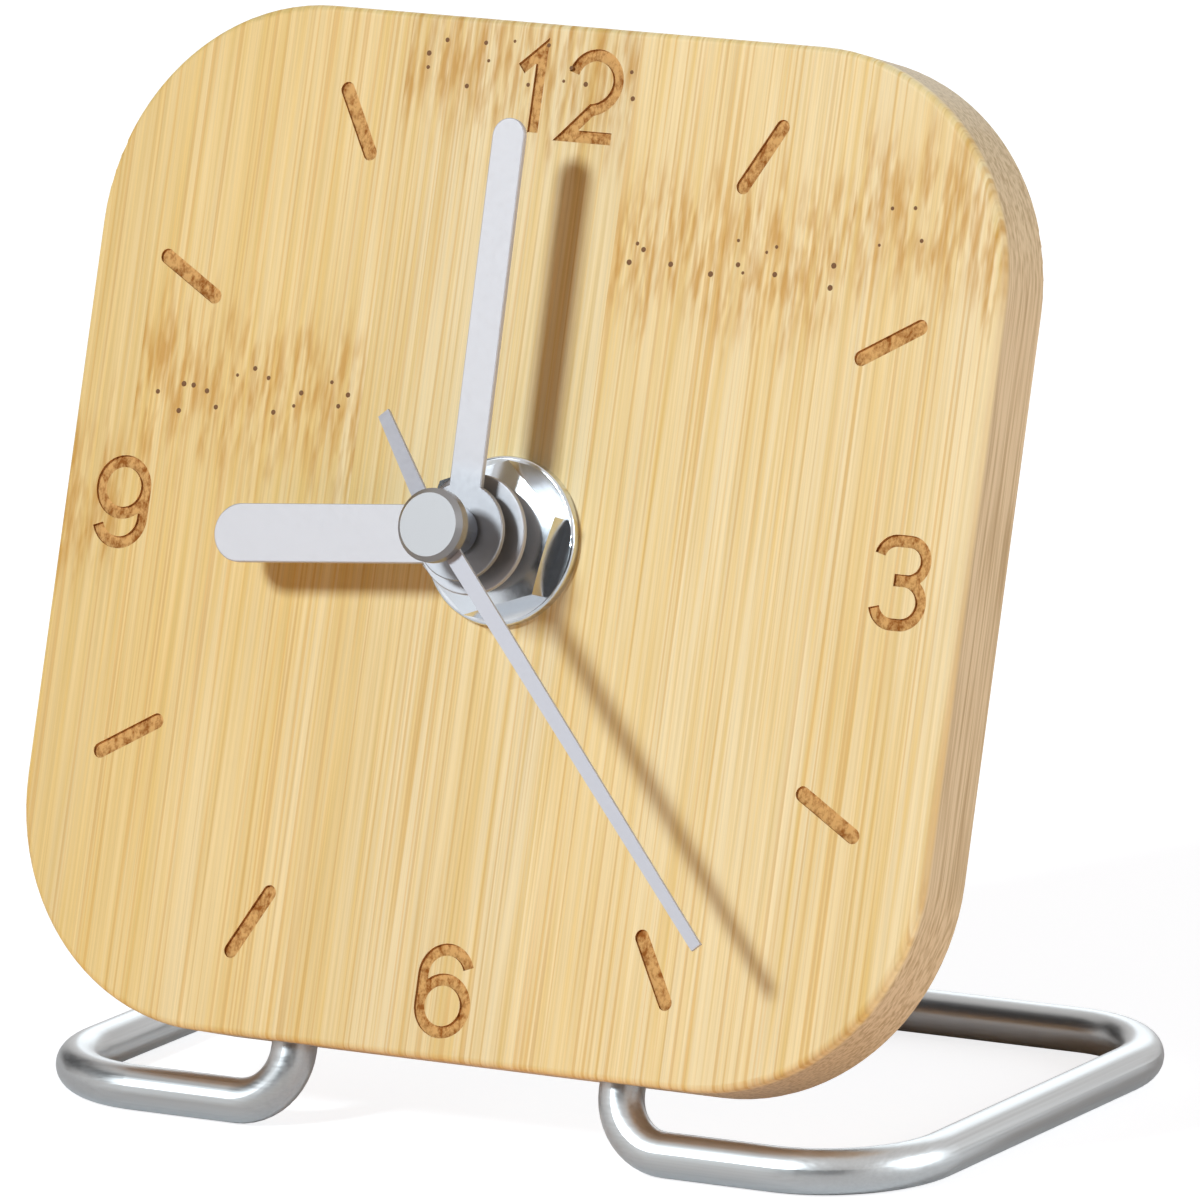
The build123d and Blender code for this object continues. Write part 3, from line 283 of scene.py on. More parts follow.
def bamboo_material(look):
    """Glued bamboo strips with upright fibres, brown nodes, sawn brown edges and a burnt engraving."""
    material, tree, shader, place = surface("bamboo")
    axes = add(tree, "ShaderNodeSeparateXYZ", {0: place}).outputs
    from_joint = add(tree, "ShaderNodeMath", {
        0: axes[0], 1: look.first_joint / MM}, operation="SUBTRACT").outputs[0]
    strips = add(tree, "ShaderNodeMath", {
        0: from_joint, 1: look.strip_width / MM}, operation="DIVIDE").outputs[0]
    strip = add(tree, "ShaderNodeMath", {0: strips}, operation="FLOOR").outputs[0]
    chance = add(tree, "ShaderNodeTexWhiteNoise", {"W": strip}, noise_dimensions="1D").outputs
    far = add(tree, "ShaderNodeVectorMath", {
        0: chance["Color"], 1: (0, 400, 90)}, operation="MULTIPLY").outputs[0]
    grown = add(tree, "ShaderNodeVectorMath", {0: place, 1: far}, operation="ADD").outputs[0]
    width, reach = look.line_width / MM, look.line_length / MM

    # Fibres: broad warm zones, warmest on the left, then amber streaks, thin brown lines and fine hairs.
    # Real hairs are finer still and are drawn coarser so that they show.
    deep = 30 * width
    broad = fibres(tree, grown, (12 * width, 3 * reach, deep))
    streaks = fibres(tree, grown, (1.4 * width, reach, deep))
    lines = fibres(tree, grown, (0.65 * width, 1.6 * reach, deep), detail=0.0)
    hairs = fibres(tree, grown, (0.35 * width, 0.45 * reach, deep), detail=1.0)
    warmth = add(tree, "ShaderNodeMapRange", {0: broad, 1: 0.36, 2: 0.7, 4: 0.6}).outputs[0]
    warm_start, warm_full = -5, -40
    left = add(tree, "ShaderNodeMapRange", {0: axes[0], 1: warm_start, 2: warm_full, 4: 0.75}).outputs[0]
    warmth = add(tree, "ShaderNodeMath", {0: warmth, 1: left}, operation="ADD", use_clamp=True).outputs[0]
    ground = add(tree, "ShaderNodeMix", {
        0: warmth, 6: rgba(look.pale), 7: rgba(look.warm)}, data_type="RGBA").outputs[2]
    streaked = add(tree, "ShaderNodeMapRange", {0: streaks, 1: 0.42, 2: 0.72, 4: 0.85}).outputs[0]
    ground = add(tree, "ShaderNodeMix", {
        0: streaked, 6: ground, 7: rgba(look.amber)}, data_type="RGBA").outputs[2]
    lined = add(tree, "ShaderNodeMapRange", {0: lines, 1: 0.58, 2: 0.7, 4: 0.48}).outputs[0]
    ground = add(tree, "ShaderNodeMix", {
        0: lined, 6: ground, 7: rgba(look.line)}, data_type="RGBA").outputs[2]
    fine = add(tree, "ShaderNodeMapRange", {0: hairs, 1: 0.3, 2: 0.7, 3: 1.05, 4: 0.92}).outputs[0]
    ground = add(tree, "ShaderNodeVectorMath", {0: ground, 3: fine}, operation="SCALE").outputs[0]

    # Nodes: each strip has one at its own height, with brown fibres running out of it up and down.
    height = axes[1]
    for count, middle in NODE_HEIGHTS.items():
        here = add(tree, "ShaderNodeMath", {0: strip, 1: count, 2: 0.1}, operation="COMPARE").outputs[0]
        height = add(tree, "ShaderNodeMath", {
            0: here, 1: -middle / MM, 2: height}, operation="MULTIPLY_ADD").outputs[0]
    ragged = fibres(tree, grown, (look.ragged_width / MM, look.ragged_length / MM, deep), roughness=0.6)
    shift = add(tree, "ShaderNodeMapRange", {
        0: ragged, 3: -look.node_ragged / MM, 4: look.node_ragged / MM}).outputs[0]
    spread = add(tree, "ShaderNodeMath", {0: height, 1: shift}, operation="ADD").outputs[0]
    away = add(tree, "ShaderNodeMath", {0: spread}, operation="ABSOLUTE").outputs[0]
    near = add(tree, "ShaderNodeMapRange", {
        0: away, 1: look.node_reach / MM, 2: look.node_core / MM}, interpolation_type="SMOOTHSTEP").outputs[0]
    flecks = fibres(tree, grown, (look.fleck_width / MM, look.fleck_length / MM, deep))
    fleck = add(tree, "ShaderNodeMapRange", {0: flecks, 1: 0.4, 2: 0.66, 4: 0.84}).outputs[0]
    browned = add(tree, "ShaderNodeMath", {0: near, 1: fleck}, operation="MULTIPLY").outputs[0]
    ground = add(tree, "ShaderNodeMix", {
        0: browned, 6: ground, 7: rgba(look.node)}, data_type="RGBA").outputs[2]
    shade = add(tree, "ShaderNodeMapRange", {0: chance["Value"], 3: 0.95, 4: 1.02}).outputs[0]
    face = add(tree, "ShaderNodeVectorMath", {0: ground, 3: shade}, operation="SCALE").outputs[0]

    # The sawn edge is browner: fibre ends on top and round the corners, long fibres down the sides.
    # It starts behind the rounded front edge and ends just before the back.
    specks = fibres(tree, place, (0.4, 14, 0.3))
    speckled = add(tree, "ShaderNodeMapRange", {0: specks, 1: 0.4, 2: 0.68}).outputs[0]
    edge = add(tree, "ShaderNodeMix", {
        0: speckled, 6: rgba(look.side), 7: rgba(look.side_dark)}, data_type="RGBA").outputs[2]
    back = dial_box("bamboo_panel")[0].z / MM
    edge_start, edge_full = -0.9, -1.5
    inside = add(tree, "ShaderNodeMapRange", {0: axes[2], 1: edge_start, 2: edge_full}).outputs[0]
    behind = add(tree, "ShaderNodeMapRange", {0: axes[2], 1: back + 0.02, 2: back + 0.3}).outputs[0]
    sawn = add(tree, "ShaderNodeMath", {0: inside, 1: behind}, operation="MULTIPLY").outputs[0]
    wood = add(tree, "ShaderNodeMix", {0: sawn, 6: face, 7: edge}, data_type="RGBA").outputs[2]

    # The engraving is burnt unevenly: its floor golden brown with dark blotches, its walls dark.
    cut_start, cut_full = -0.02, -0.12
    sunk = add(tree, "ShaderNodeMapRange", {0: axes[2], 1: cut_start, 2: cut_full}).outputs[0]
    shallow = add(tree, "ShaderNodeMath", {
        0: axes[2], 1: -ENGRAVED_DEEPEST / MM}, operation="GREATER_THAN").outputs[0]
    dial = add(tree, "ShaderNodeMath", {
        0: from_axis(tree, place), 1: DIAL_RADIUS / MM}, operation="LESS_THAN").outputs[0]
    cut = add(tree, "ShaderNodeMath", {0: sunk, 1: shallow}, operation="MULTIPLY").outputs[0]
    cut = add(tree, "ShaderNodeMath", {0: cut, 1: dial}, operation="MULTIPLY").outputs[0]
    burns = fibres(tree, place, (0.55, 0.8, 0.5), detail=3.0, roughness=0.65)
    singed = add(tree, "ShaderNodeMapRange", {0: burns, 1: 0.42, 2: 0.66}).outputs[0]
    bottom = -ENGRAVED_FLOOR / MM
    wall_start, wall_full = bottom + 0.01, bottom + 0.09
    wall = add(tree, "ShaderNodeMapRange", {0: axes[2], 1: wall_start, 2: wall_full, 4: 0.8}).outputs[0]
    dark = add(tree, "ShaderNodeMath", {0: singed, 1: wall}, operation="MAXIMUM").outputs[0]
    burn = add(tree, "ShaderNodeMix", {
        0: dark, 6: rgba(look.burnt), 7: rgba(look.charred)}, data_type="RGBA").outputs[2]
    final = add(tree, "ShaderNodeMix", {0: cut, 6: wood, 7: burn}, data_type="RGBA").outputs[2]
    tree.links.new(final, shader.inputs["Base Color"])

    # The lacquer shines softly; the burnt wood is dull.
    shine = add(tree, "ShaderNodeMapRange", {0: cut, 3: 0.35, 4: 0.05}).outputs[0]
    tree.links.new(shine, shader.inputs["Specular IOR Level"])
    gloss = add(tree, "ShaderNodeMapRange", {0: streaks, 3: 0.44, 4: 0.58}).outputs[0]
    tree.links.new(gloss, shader.inputs["Roughness"])
    relief = add(tree, "ShaderNodeBump", {"Height": hairs, "Distance": 0.03 * MM, "Strength": 0.6}).outputs[0]
    tree.links.new(relief, shader.inputs["Normal"])
    return material


def solid(name, build, body, material):
    """Adds a mesh piece filled by build, riding on that body, with that material."""
    mesh = bpy.data.meshes.new(name)
    shape = bmesh.new()
    build(shape)
    bmesh.ops.recalc_face_normals(shape, faces=shape.faces)
    shape.to_mesh(mesh)
    shape.free()
    piece = bpy.data.objects.new(name, mesh)
    bpy.context.scene.collection.objects.link(piece)
    mesh.materials.append(material)
    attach(piece, body)


def prism(shape, outline, bottom, top):
    """Adds an upright slab on the dial: its outline is a loop of (across, up) points."""
    lower = [shape.verts.new(dial_point(across, up, bottom)) for across, up in outline]
    upper = [shape.verts.new(dial_point(across, up, top)) for across, up in outline]
    shape.faces.new(lower)
    shape.faces.new(upper)
    for at in range(len(outline)):
        after = (at + 1) % len(outline)
        shape.faces.new((lower[at], lower[after], upper[after], upper[at]))


def dress(material, *nodes):
    """Gives CAD nodes that material."""
    for node in nodes:
        NODES[node].data.materials.clear()
        NODES[node].data.materials.append(material)


class CLOCK_OT_bamboo_panel(bpy.types.Operator):
    """Bamboo of the panel and the dark pits along its nodes"""
    bl_idname = "clock.bamboo_panel"
    bl_label = "Bamboo panel"

    def execute(self, context):
        look = context.scene.clock_bamboo
        dress(bamboo_material(look), "bamboo_panel")
        reach = dial_box("bamboo_panel")[1].x - look.pit_edge
        rows = []
        for count, middle in NODE_HEIGHTS.items():
            left = look.first_joint + count * look.strip_width
            for place in range(look.pits_across):
                across = left + (place + 0.5) * look.strip_width / look.pits_across
                for up in (look.pit_row_low, look.pit_row_high):
                    if abs(across) < reach:
                        rows.append(dial_point(across, middle + up, 0))
        pits = bpy.data.meshes.new("node_pits")
        pits.from_pydata(rows, [], [])
        piece = bpy.data.objects.new("node_pits", pits)
        context.scene.collection.objects.link(piece)
        # Pores of the bamboo's nodes: dark, dull dots.
        pore = grained("bamboo_pore", look.pit, 0.0, 0.7, (0.1, 0.1, 0.1), 0.4)
        tree = pit_nodes(pore)
        modifier = piece.modifiers.new("pits", "NODES")
        modifier.node_group = tree
        sizes = {"Pit Size": look.pit_size, "Shift Across": look.pit_shift_across,
                 "Shift Along": look.pit_shift_along}
        for socket in tree.interface.items_tree:
            if socket.name in sizes:
                modifier[socket.identifier] = sizes[socket.name]
        context.view_layer.update()
        spread = piece.evaluated_get(context.evaluated_depsgraph_get())
        piece.data = bpy.data.meshes.new_from_object(spread)
        piece.modifiers.clear()
        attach(piece, "clock_body")
        return {"FINISHED"}


def pit_nodes(pore):
    """Geometry nodes that set a flat dark dome near each point of the rows, some larger and some left out."""
    tree = bpy.data.node_groups.new("node_pits", "GeometryNodeTree")
    tree.interface.new_socket("Geometry", in_out="INPUT", socket_type="NodeSocketGeometry")
    for name in ("Pit Size", "Shift Across", "Shift Along"):
        tree.interface.new_socket(name, in_out="INPUT", socket_type="NodeSocketFloat")
    tree.interface.new_socket("Geometry", in_out="OUTPUT", socket_type="NodeSocketGeometry")
    given = add(tree, "NodeGroupInput").outputs
    moves = []
    for name, way, seed in (("Shift Across", RIGHT, 3), ("Shift Along", UP, 7)):
        share = add(tree, "FunctionNodeRandomValue", {2: -1.0, 3: 1.0, 8: seed}, data_type="FLOAT").outputs[1]
        move = add(tree, "ShaderNodeMath", {0: share, 1: given[name]}, operation="MULTIPLY").outputs[0]
        moves.append(add(tree, "ShaderNodeVectorMath", {0: way, 3: move}, operation="SCALE").outputs[0])
    shift = add(tree, "ShaderNodeVectorMath", {0: moves[0], 1: moves[1]}, operation="ADD").outputs[0]
    moved = add(tree, "GeometryNodeSetPosition", {"Geometry": given["Geometry"], "Offset": shift}).outputs[0]
    kept = add(tree, "FunctionNodeRandomValue", {6: 0.8, 8: 5}, data_type="BOOLEAN").outputs[3]
    dome = add(tree, "GeometryNodeMeshUVSphere", {
        "Segments": 10, "Rings": 6, "Radius": given["Pit Size"]}).outputs[0]
    size = add(tree, "FunctionNodeRandomValue", {2: 0.6, 3: 1.1, 8: 11}, data_type="FLOAT").outputs[1]
    flat = add(tree, "ShaderNodeVectorMath", {0: (1, 1, 0.12), 3: size}, operation="SCALE").outputs[0]
    domes = add(tree, "GeometryNodeInstanceOnPoints", {
        "Points": moved, "Selection": kept, "Instance": dome,
        "Rotation": OUT.to_track_quat("Z", "Y").to_euler(), "Scale": flat}).outputs[0]
    real = add(tree, "GeometryNodeRealizeInstances", {0: domes}).outputs[0]
    finished = add(tree, "GeometryNodeSetMaterial", {"Geometry": real, "Material": pore}).outputs[0]
    add(tree, "NodeGroupOutput", {0: finished})
    return tree


class CLOCK_OT_wire_stand(bpy.types.Operator):
    """Drawn steel wire of the stand"""
    bl_idname = "clock.wire_stand"
    bl_label = "Wire stand"

    def execute(self, context):
        dress(wire_material(context.scene.clock_metal), "wire_stand")
        return {"FINISHED"}


def wire_material(look):
    """Drawn steel wire: satin grey with fine streaks of light and dark along its bars."""
    material, tree, shader, _ = surface("drawn_wire", Metallic=1.0)
    level = add(tree, "ShaderNodeVectorMath", {
        0: add(tree, "ShaderNodeTexCoord").outputs["Object"], 3: 1 / MM}, operation="SCALE").outputs[0]
    axes = add(tree, "ShaderNodeSeparateXYZ", {0: level}).outputs
    # The streaks turn with the bars at the stand's corners, this many millimetres in from its sides.
    bend_start, bend_end = 9, 4
    reach = dial_box("wire_stand")[1].x / MM
    sideways = add(tree, "ShaderNodeMath", {0: axes[0]}, operation="ABSOLUTE").outputs[0]
    side = add(tree, "ShaderNodeMapRange", {
        0: sideways, 1: reach - bend_start, 2: reach - bend_end}).outputs[0]
    # The die's marks are finer in reality and are drawn coarser so that they show.
    mark_length, mark_width = 60, 0.22
    across = fibres(tree, level, (mark_length, mark_width, mark_width))
    along = fibres(tree, level, (mark_width, mark_length, mark_width))
    drawn = add(tree, "ShaderNodeMix", {0: side, 2: across, 3: along}).outputs[0]
    darker = [part * 0.78 for part in look.wire]
    toned = add(tree, "ShaderNodeMix", {0: drawn, 6: rgba(darker), 7: rgba(look.wire)}, data_type="RGBA")
    tree.links.new(toned.outputs[2], shader.inputs["Base Color"])
    gloss = add(tree, "ShaderNodeMapRange", {0: drawn, 1: 0.3, 2: 0.7, 3: 0.3, 4: 0.4})
    tree.links.new(gloss.outputs[0], shader.inputs["Roughness"])
    return material


class CLOCK_OT_fixing(bpy.types.Operator):
    """Washer, nut, bush and gasket that hold the movement to the panel"""
    bl_idname = "clock.fixing"
    bl_label = "Fixing"

    def execute(self, context):
        look = context.scene.clock_metal
        plastic = context.scene.clock_plastic
        # Bright chrome: hard reflections with dark edges.
        dress(grained("bright_chrome", look.chrome, 1.0, 0.19, (0.4, 0.4, 0.4), 0.03),
              "hex_nut", "mounting_washer")
        # Nickelled brass bush: soft turned gloss.
        dress(grained("turned_bush", look.chrome, 1.0, 0.22, (3.0, 3.0, 0.12), 0.12), "threaded_bush")
        # Black rubber: dull and dark.
        dress(grained("gasket_rubber", plastic.rubber, 0.0, 0.8, (0.3, 0.3, 0.3), 0.3, 0.01), "rubber_gasket")
        return {"FINISHED"}


class CLOCK_OT_hands(bpy.types.Operator):
    """Hour, minute and second hands with hub and cap"""
    bl_idname = "clock.hands"
    bl_label = "Hands"

    def execute(self, context):
        look = context.scene.clock_metal
        dress(hand_material(look), "hour_hand", "minute_hand")
        # Thin satin strip, a little greyer than the broad hands.
        dress(grained("satin_strip", look.second, 0.4, 0.45, (0.4, 0.4, 0.4), 0.06, 0.002), "second_hand")
        # Turned metal cap: an even satin grey.
        dress(grained("satin_cap", look.cap, 0.9, 0.42, (0.5, 0.5, 0.5), 0.05), "second_hand_cap")
        # Turned steel hub: bright with fine rings, drawn coarser than real ones so that they show.
        dress(grained("turned_hub", look.hub, 1.0, 0.3, (2.0, 2.0, 0.1), 0.15), "second_hand_hub")
        return {"FINISHED"}


def hand_material(look):
    """Silver lacquer on stamped aluminium: an even pale sheen, with bare metal round the eye, painted darker
    there as shade from the cap and hub.
    """
    material, tree, shader, place = surface("silver_lacquer")
    grain = fibres(tree, place, (0.5, 0.5, 0.5), detail=3.0)
    toned = give_grain(tree, shader, grain, look.hand, 0.5, 0.05, 0.002)
    away = from_axis(tree, place)
    start, end = look.bare_shade_radius / MM, look.lacquer_radius / MM
    metal = add(tree, "ShaderNodeMapRange", {0: away, 1: start, 2: end, 3: 0.92, 4: 0.3}).outputs[0]
    tree.links.new(metal, shader.inputs["Metallic"])
    # Round the eye the base colour is darkened: painted shade from the cap and hub.
    bare_and_shaded = add(tree, "ShaderNodeMapRange", {0: away, 1: start, 2: end, 3: 0.68, 4: 1.0}).outputs[0]
    toned = add(tree, "ShaderNodeVectorMath", {0: toned, 3: bare_and_shaded}, operation="SCALE").outputs[0]
    tree.links.new(toned, shader.inputs["Base Color"])
    return material


class CLOCK_OT_case(bpy.types.Operator):
    """Movement case, rear cover, screws and setting knob with its turn arrow"""
    bl_idname = "clock.case"
    bl_label = "Case"

    def execute(self, context):
        look = context.scene.clock_plastic
        metal = context.scene.clock_metal
        # Spark-eroded black plastic: a sandy texture with a soft grey sheen, drawn coarser so that it shows.
        black = grained("case_plastic", look.case, 0.0, 0.55, (0.22, 0.22, 0.22), 0.25, 0.02)
        dress(black, "movement_case", "rear_cover", "setting_knob")
        # Plated screws: small bright dots.
        dress(grained("plated_steel", metal.steel, 1.0, 0.25, (0.3, 0.3, 0.3), 0.1),
              "cover_screws", "plate_screws", "core_screws")
        base = dial_box("rear_cover")[0].z
        top = base - look.arrow_height
        knob_low, knob_high = dial_box("setting_knob")
        middle = (knob_low + knob_high) / 2
        inner = (knob_high.x - knob_low.x) / 2 + look.arrow_gap
        outer = inner + look.arrow_stroke
        turns = [radians(degrees) for degrees in range(-60, 241, 10)]
        head_turn = 0.42

        def rim(radius, turn):
            return middle.x + radius * cos(turn), middle.y + radius * sin(turn)

        def arrow(shape):
            outside = [rim(outer, turn) for turn in turns]
            inside = [rim(inner, turn) for turn in reversed(turns)]
            prism(shape, outside + inside, top, base)
            head = [rim(inner - look.arrow_spread, turns[0]), rim(outer + look.arrow_spread, turns[0]),
                    rim((inner + outer) / 2, turns[0] - head_turn)]
            prism(shape, head, top, base)

        solid("turn_arrow", arrow, "clock_body", black)
        return {"FINISHED"}


class CLOCK_OT_train(bpy.types.Operator):
    """Wheels, pipe, arbors and the plate between them"""
    bl_idname = "clock.train"
    bl_label = "Train"

    def execute(self, context):
        look = context.scene.clock_plastic
        metal = context.scene.clock_metal
        # Moulded acetal: waxy off-white.
        dress(grained("acetal", look.wheel, 0.0, 0.45, (1.5, 1.5, 1.5), 0.06),
              "centre_wheel", "hour_wheel", "second_wheel", "third_wheel", "intermediate_wheel",
              "rotor_pinion", "motion_wheel", "setting_arbor")
        # Dark moulded plate: dull grey.
        dress(grained("plate_plastic", look.plate, 0.0, 0.6, (0.3, 0.3, 0.3), 0.2, 0.01), "train_plate")
        # Turned brass: warm gloss with fine rings.
        dress(grained("turned_brass", metal.brass, 1.0, 0.22, (2.0, 2.0, 0.1), 0.12), "minute_pipe")
        # Ground steel arbors: bright grey.
        dress(grained("ground_steel", metal.steel, 1.0, 0.18, (1.0, 1.0, 0.1), 0.1),
              "second_arbor", "intermediate_pin")
        return {"FINISHED"}


class CLOCK_OT_motor(bpy.types.Operator):
    """Stepping motor, coil and circuit"""
    bl_idname = "clock.motor"
    bl_label = "Motor"

    def execute(self, context):
        look = context.scene.clock_plastic
        metal = context.scene.clock_metal
        # Stamped sheet iron: dull grey with rolling marks.
        dress(grained("sheet_iron", metal.iron, 1.0, 0.35, (4.0, 0.2, 0.2), 0.2), "stator", "coil_core")
        # Natural nylon bobbin: milky.
        dress(grained("bobbin_nylon", look.bobbin, 0.0, 0.5, (1.0, 1.0, 1.0), 0.08), "coil_bobbin")
        # Enamelled copper: fine glossy turns, drawn coarser than the real wire so that they show.
        dress(grained("enamelled_copper", metal.copper, 1.0, 0.3, (0.1, 3.0, 3.0), 0.45, 0.02),
              "coil_winding")
        # Sintered magnet: dark and slightly rough.
        dress(grained("sintered_magnet", metal.magnet, 0.8, 0.5, (0.15, 0.15, 0.15), 0.35, 0.01),
              "rotor_magnet")
        # Drawn can: bright satin.
        dress(grained("drawn_can", metal.can, 1.0, 0.25, (3.0, 0.1, 0.1), 0.1), "quartz_crystal")
        # Resin drop: black and glossy.
        dress(grained("resin_drop", look.resin, 0.0, 0.12, (1.0, 1.0, 1.0), 0.2), "chip")
        dress(board_material(look), "circuit_board")
        return {"FINISHED"}


def board_material(look):
    """Green solder mask over copper traces: glossy with slightly lighter lines."""
    material, tree, shader, place = surface("solder_mask", Roughness=0.28)
    cells = add(tree, "ShaderNodeTexVoronoi", {"Vector": place, "Scale": 0.45},
                feature="DISTANCE_TO_EDGE", distance="MANHATTAN").outputs[0]
    traced = add(tree, "ShaderNodeMapRange", {0: cells, 1: 0.12, 2: 0.16, 3: 1.0, 4: 0.0}).outputs[0]
    mixed = add(tree, "ShaderNodeMix", {
        0: traced, 6: rgba(look.board), 7: rgba(look.trace)}, data_type="RGBA").outputs[2]
    tree.links.new(mixed, shader.inputs["Base Color"])
    return material


class CLOCK_OT_battery(bpy.types.Operator):
    """Battery cell, its wrap, the contacts and the pole signs on the bay's floor"""
    bl_idname = "clock.battery"
    bl_label = "Battery"

    def execute(self, context):
        look = context.scene.clock_plastic
        metal = context.scene.clock_metal
        # Nickelled can: bright satin ends.
        dress(grained("nickelled_can", metal.can, 1.0, 0.22, (0.2, 3.0, 3.0), 0.1), "battery_cell")
        # Nickelled strip: bright with rolling marks.
        dress(grained("nickelled_strip", metal.steel, 1.0, 0.24, (0.2, 3.0, 3.0), 0.12),
              "positive_contact", "negative_contact")
        dress(wrap_material(look), "battery_sleeve")
        sleeve_low, sleeve_high = dial_box("battery_sleeve")
        cell_low, cell_high = dial_box("battery_cell")
        nub_side = 1 if cell_high.x - sleeve_high.x > sleeve_low.x - cell_low.x else -1
        plus = nub_side * look.sign_place
        minus = -plus
        floor = sleeve_high.z + look.bay_clearance
        top = floor - look.sign_height
        height = (sleeve_low.y + sleeve_high.y) / 2
        arm, bar = look.sign_arm, look.sign_bar

        def signs(shape):
            cross = [(-arm, -bar), (-bar, -bar), (-bar, -arm), (bar, -arm), (bar, -bar), (arm, -bar),
                     (arm, bar), (bar, bar), (bar, arm), (-bar, arm), (-bar, bar), (-arm, bar)]
            dash = [(-arm, -bar), (arm, -bar), (arm, bar), (-arm, bar)]
            for place, outline in ((plus, cross), (minus, dash)):
                prism(shape, [(place + across, height + up) for across, up in outline], top, floor)

        solid("pole_signs", signs, "clock_body", bpy.data.materials["case_plastic"])
        return {"FINISHED"}


def wrap_material(look):
    """Shrunk plastic wrap: glossy dark film with a plain pale band near one end."""
    material, tree, shader, place = surface("battery_wrap", Roughness=0.25)
    band_end = (dial_box("battery_sleeve")[0].x + look.band_width) / MM
    across = add(tree, "ShaderNodeSeparateXYZ", {0: place}).outputs[0]
    start = add(tree, "ShaderNodeMath", {0: across, 1: band_end}, operation="LESS_THAN").outputs[0]
    drift = fibres(tree, place, (3.0, 3.0, 3.0))
    darker = [part * 0.8 for part in look.wrap]
    film = add(tree, "ShaderNodeMix", {
        0: drift, 6: rgba(look.wrap), 7: rgba(darker)}, data_type="RGBA").outputs[2]
    mixed = add(tree, "ShaderNodeMix", {0: start, 6: film, 7: rgba(look.band)}, data_type="RGBA").outputs[2]
    tree.links.new(mixed, shader.inputs["Base Color"])
    return material


def table_material(look):
    """Lit white table: it looks white from within, so that only a faint contact shadow shows."""
    material, tree, shader, _ = surface("lit_table", Roughness=0.9, Emission_Color=rgba(look.floor))
    path = add(tree, "ShaderNodeLightPath").outputs
    # Diffuse rays see the table in the warm tint: painted warm light that reaches the shadows.
    tint = add(tree, "ShaderNodeMix", {
        0: path["Is Diffuse Ray"], 6: rgba(look.floor), 7: rgba(look.warm_tint)}, data_type="RGBA").outputs[2]
    shade = [part * look.floor_shade for part in look.floor]
    tint = add(tree, "ShaderNodeMix", {
        0: path["Is Camera Ray"], 6: tint, 7: rgba(shade)}, data_type="RGBA").outputs[2]
    tree.links.new(tint, shader.inputs["Base Color"])
    glow = add(tree, "ShaderNodeMath", {
        0: path["Is Camera Ray"], 1: look.floor_glow}, operation="MULTIPLY").outputs[0]
    tree.links.new(glow, shader.inputs["Emission Strength"])
    return material


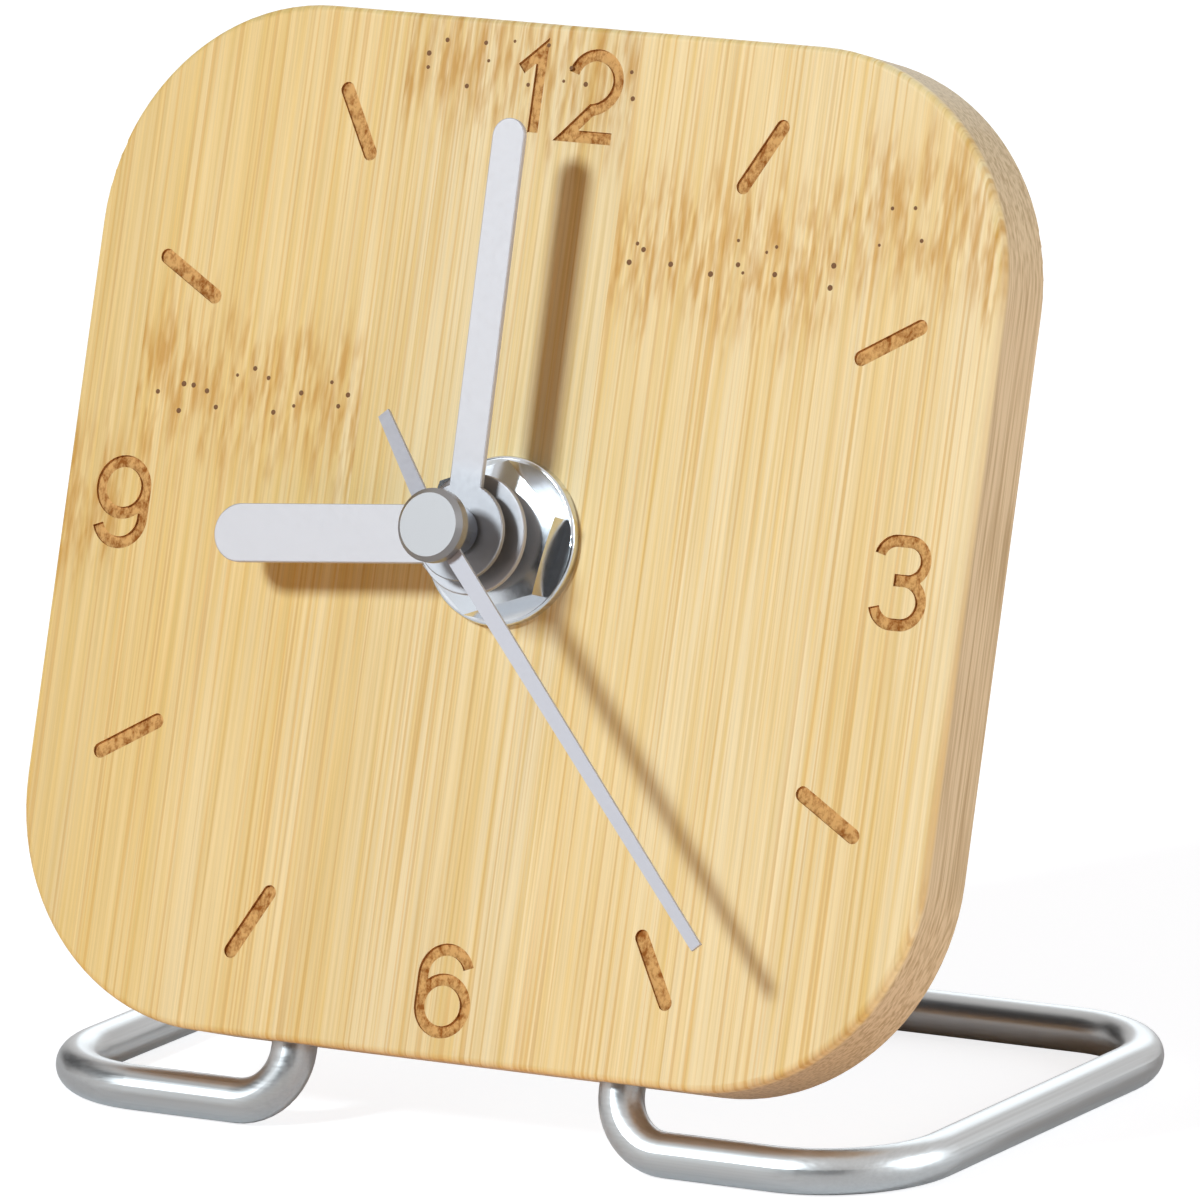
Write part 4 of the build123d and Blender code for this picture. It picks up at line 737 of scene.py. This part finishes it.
class CLOCK_OT_stage(bpy.types.Operator):
    """Pale table, soft light, dark cards for the metal to reflect, and the camera"""
    bl_idname = "clock.stage"
    bl_label = "Stage"

    def execute(self, context):
        look = context.scene.clock_stage
        scene = context.scene
        bpy.ops.mesh.primitive_plane_add(size=look.floor_size, location=(0, 0, 0))
        floor = context.object
        floor.name = "studio_floor"
        floor.data.materials.append(table_material(look))

        # Matt black card: only seen in polished metal.
        card = grained("flag_card", look.flag, 0.0, 0.9, (50.0, 50.0, 50.0), 0.2)
        for name, towards, distance, size in (
            ("flag_front", (-0.03, -0.97, 0.2), 1.2, 0.75),
            ("flag_right", (0.52, -0.85, 0.15), 1.2, 0.65),
            ("flag_left", (-0.8, 0.25, 0.3), 0.85, 0.55),
            ("flag_high", (-0.78, -0.35, 0.52), 0.6, 0.35),
        ):
            turn = Vector(towards).to_track_quat("Z", "Y").to_euler()
            place = FACE + Vector(towards).normalized() * distance
            bpy.ops.mesh.primitive_plane_add(size=size, location=place, rotation=turn)
            flag = context.object
            flag.name = name
            flag.data.materials.append(card)
            flag.visible_camera = False
            flag.visible_diffuse = False
            flag.visible_shadow = False

        # The key stands high on the left. Fill and back light stand behind the dial's plane and leave its
        # face alone.
        for name, power, size, towards, distance in (
            ("key_light", look.key_power, look.key_size, (-0.299, -0.775, 0.558), look.key_distance),
            ("fill_light", look.fill_power, look.fill_size, (0.93, 0.2, 0.3), look.fill_distance),
            ("back_light", look.back_power, look.fill_size, (-0.3, 0.85, 0.45), look.fill_distance),
        ):
            light = bpy.data.lights.new(name, "AREA")
            light.energy = power
            light.color = look.lamp_tint
            light.size = size
            lamp = bpy.data.objects.new(name, light)
            scene.collection.objects.link(lamp)
            lamp.location = FACE + Vector(towards).normalized() * distance
            lamp.rotation_euler = (-Vector(towards)).to_track_quat("-Z", "Y").to_euler()

        # The surround is bright and white in metal, and casts a dim warm light on everything else.
        world = bpy.data.worlds.new("studio_surround")
        world.use_nodes = True
        tree = world.node_tree
        tree.nodes.clear()
        diffuse = add(tree, "ShaderNodeLightPath").outputs["Is Diffuse Ray"]
        strength = add(tree, "ShaderNodeMapRange", {0: diffuse, 3: look.surround, 4: look.ambient}).outputs[0]
        tint = add(tree, "ShaderNodeMix", {
            0: diffuse, 6: (1, 1, 1, 1), 7: rgba(look.warm_tint)}, data_type="RGBA").outputs[2]
        glow = add(tree, "ShaderNodeBackground", {"Color": tint, "Strength": strength}).outputs[0]
        add(tree, "ShaderNodeOutputWorld", {"Surface": glow})
        scene.world = world

        lens = bpy.data.cameras.new("photo_camera")
        lens.lens = look.lens
        lens.sensor_width = 36
        lens.clip_start = 0.05
        camera = bpy.data.objects.new("photo_camera", lens)
        scene.collection.objects.link(camera)
        level = cos(look.elevation)
        back = Vector((sin(look.azimuth) * level, -cos(look.azimuth) * level, sin(look.elevation)))
        camera.location = Vector(look.aim) + back * look.distance
        camera.rotation_mode = "QUATERNION"
        camera.rotation_quaternion = (-back).to_track_quat("-Z", "Y") @ Quaternion((0, 0, 1), look.roll)
        scene.camera = camera
        scene.view_settings.view_transform = "Standard"
        scene.view_settings.look = "None"
        return {"FINISHED"}


class CLOCK_PT_panel(bpy.types.Panel):
    """Steps that dress the clock"""
    bl_idname = "CLOCK_PT_panel"
    bl_label = "Bamboo Desk Clock"
    bl_space_type = "VIEW_3D"
    bl_region_type = "UI"
    bl_category = "Clock"

    def draw(self, context):
        for step in STEPS:
            self.layout.operator(step.bl_idname)


STEPS = (CLOCK_OT_bamboo_panel, CLOCK_OT_wire_stand, CLOCK_OT_fixing, CLOCK_OT_hands, CLOCK_OT_case,
         CLOCK_OT_train, CLOCK_OT_motor, CLOCK_OT_battery, CLOCK_OT_stage)
SETTINGS = {"clock_bamboo": BambooSettings, "clock_metal": MetalSettings, "clock_plastic": PlasticSettings,
            "clock_stage": StageSettings}


def register():
    for kind in (*SETTINGS.values(), *STEPS, CLOCK_PT_panel):
        bpy.utils.register_class(kind)
    for name, kind in SETTINGS.items():
        setattr(bpy.types.Scene, name, bpy.props.PointerProperty(type=kind))


def unregister():
    for name in SETTINGS:
        delattr(bpy.types.Scene, name)
    for kind in (CLOCK_PT_panel, *reversed(STEPS), *SETTINGS.values()):
        bpy.utils.unregister_class(kind)


def main():
    register()
    bpy.ops.clock.bamboo_panel()
    bpy.ops.clock.wire_stand()
    bpy.ops.clock.fixing()
    bpy.ops.clock.hands()
    bpy.ops.clock.case()
    bpy.ops.clock.train()
    bpy.ops.clock.motor()
    bpy.ops.clock.battery()
    bpy.ops.clock.stage()


if __name__ == "__main__":
    main()
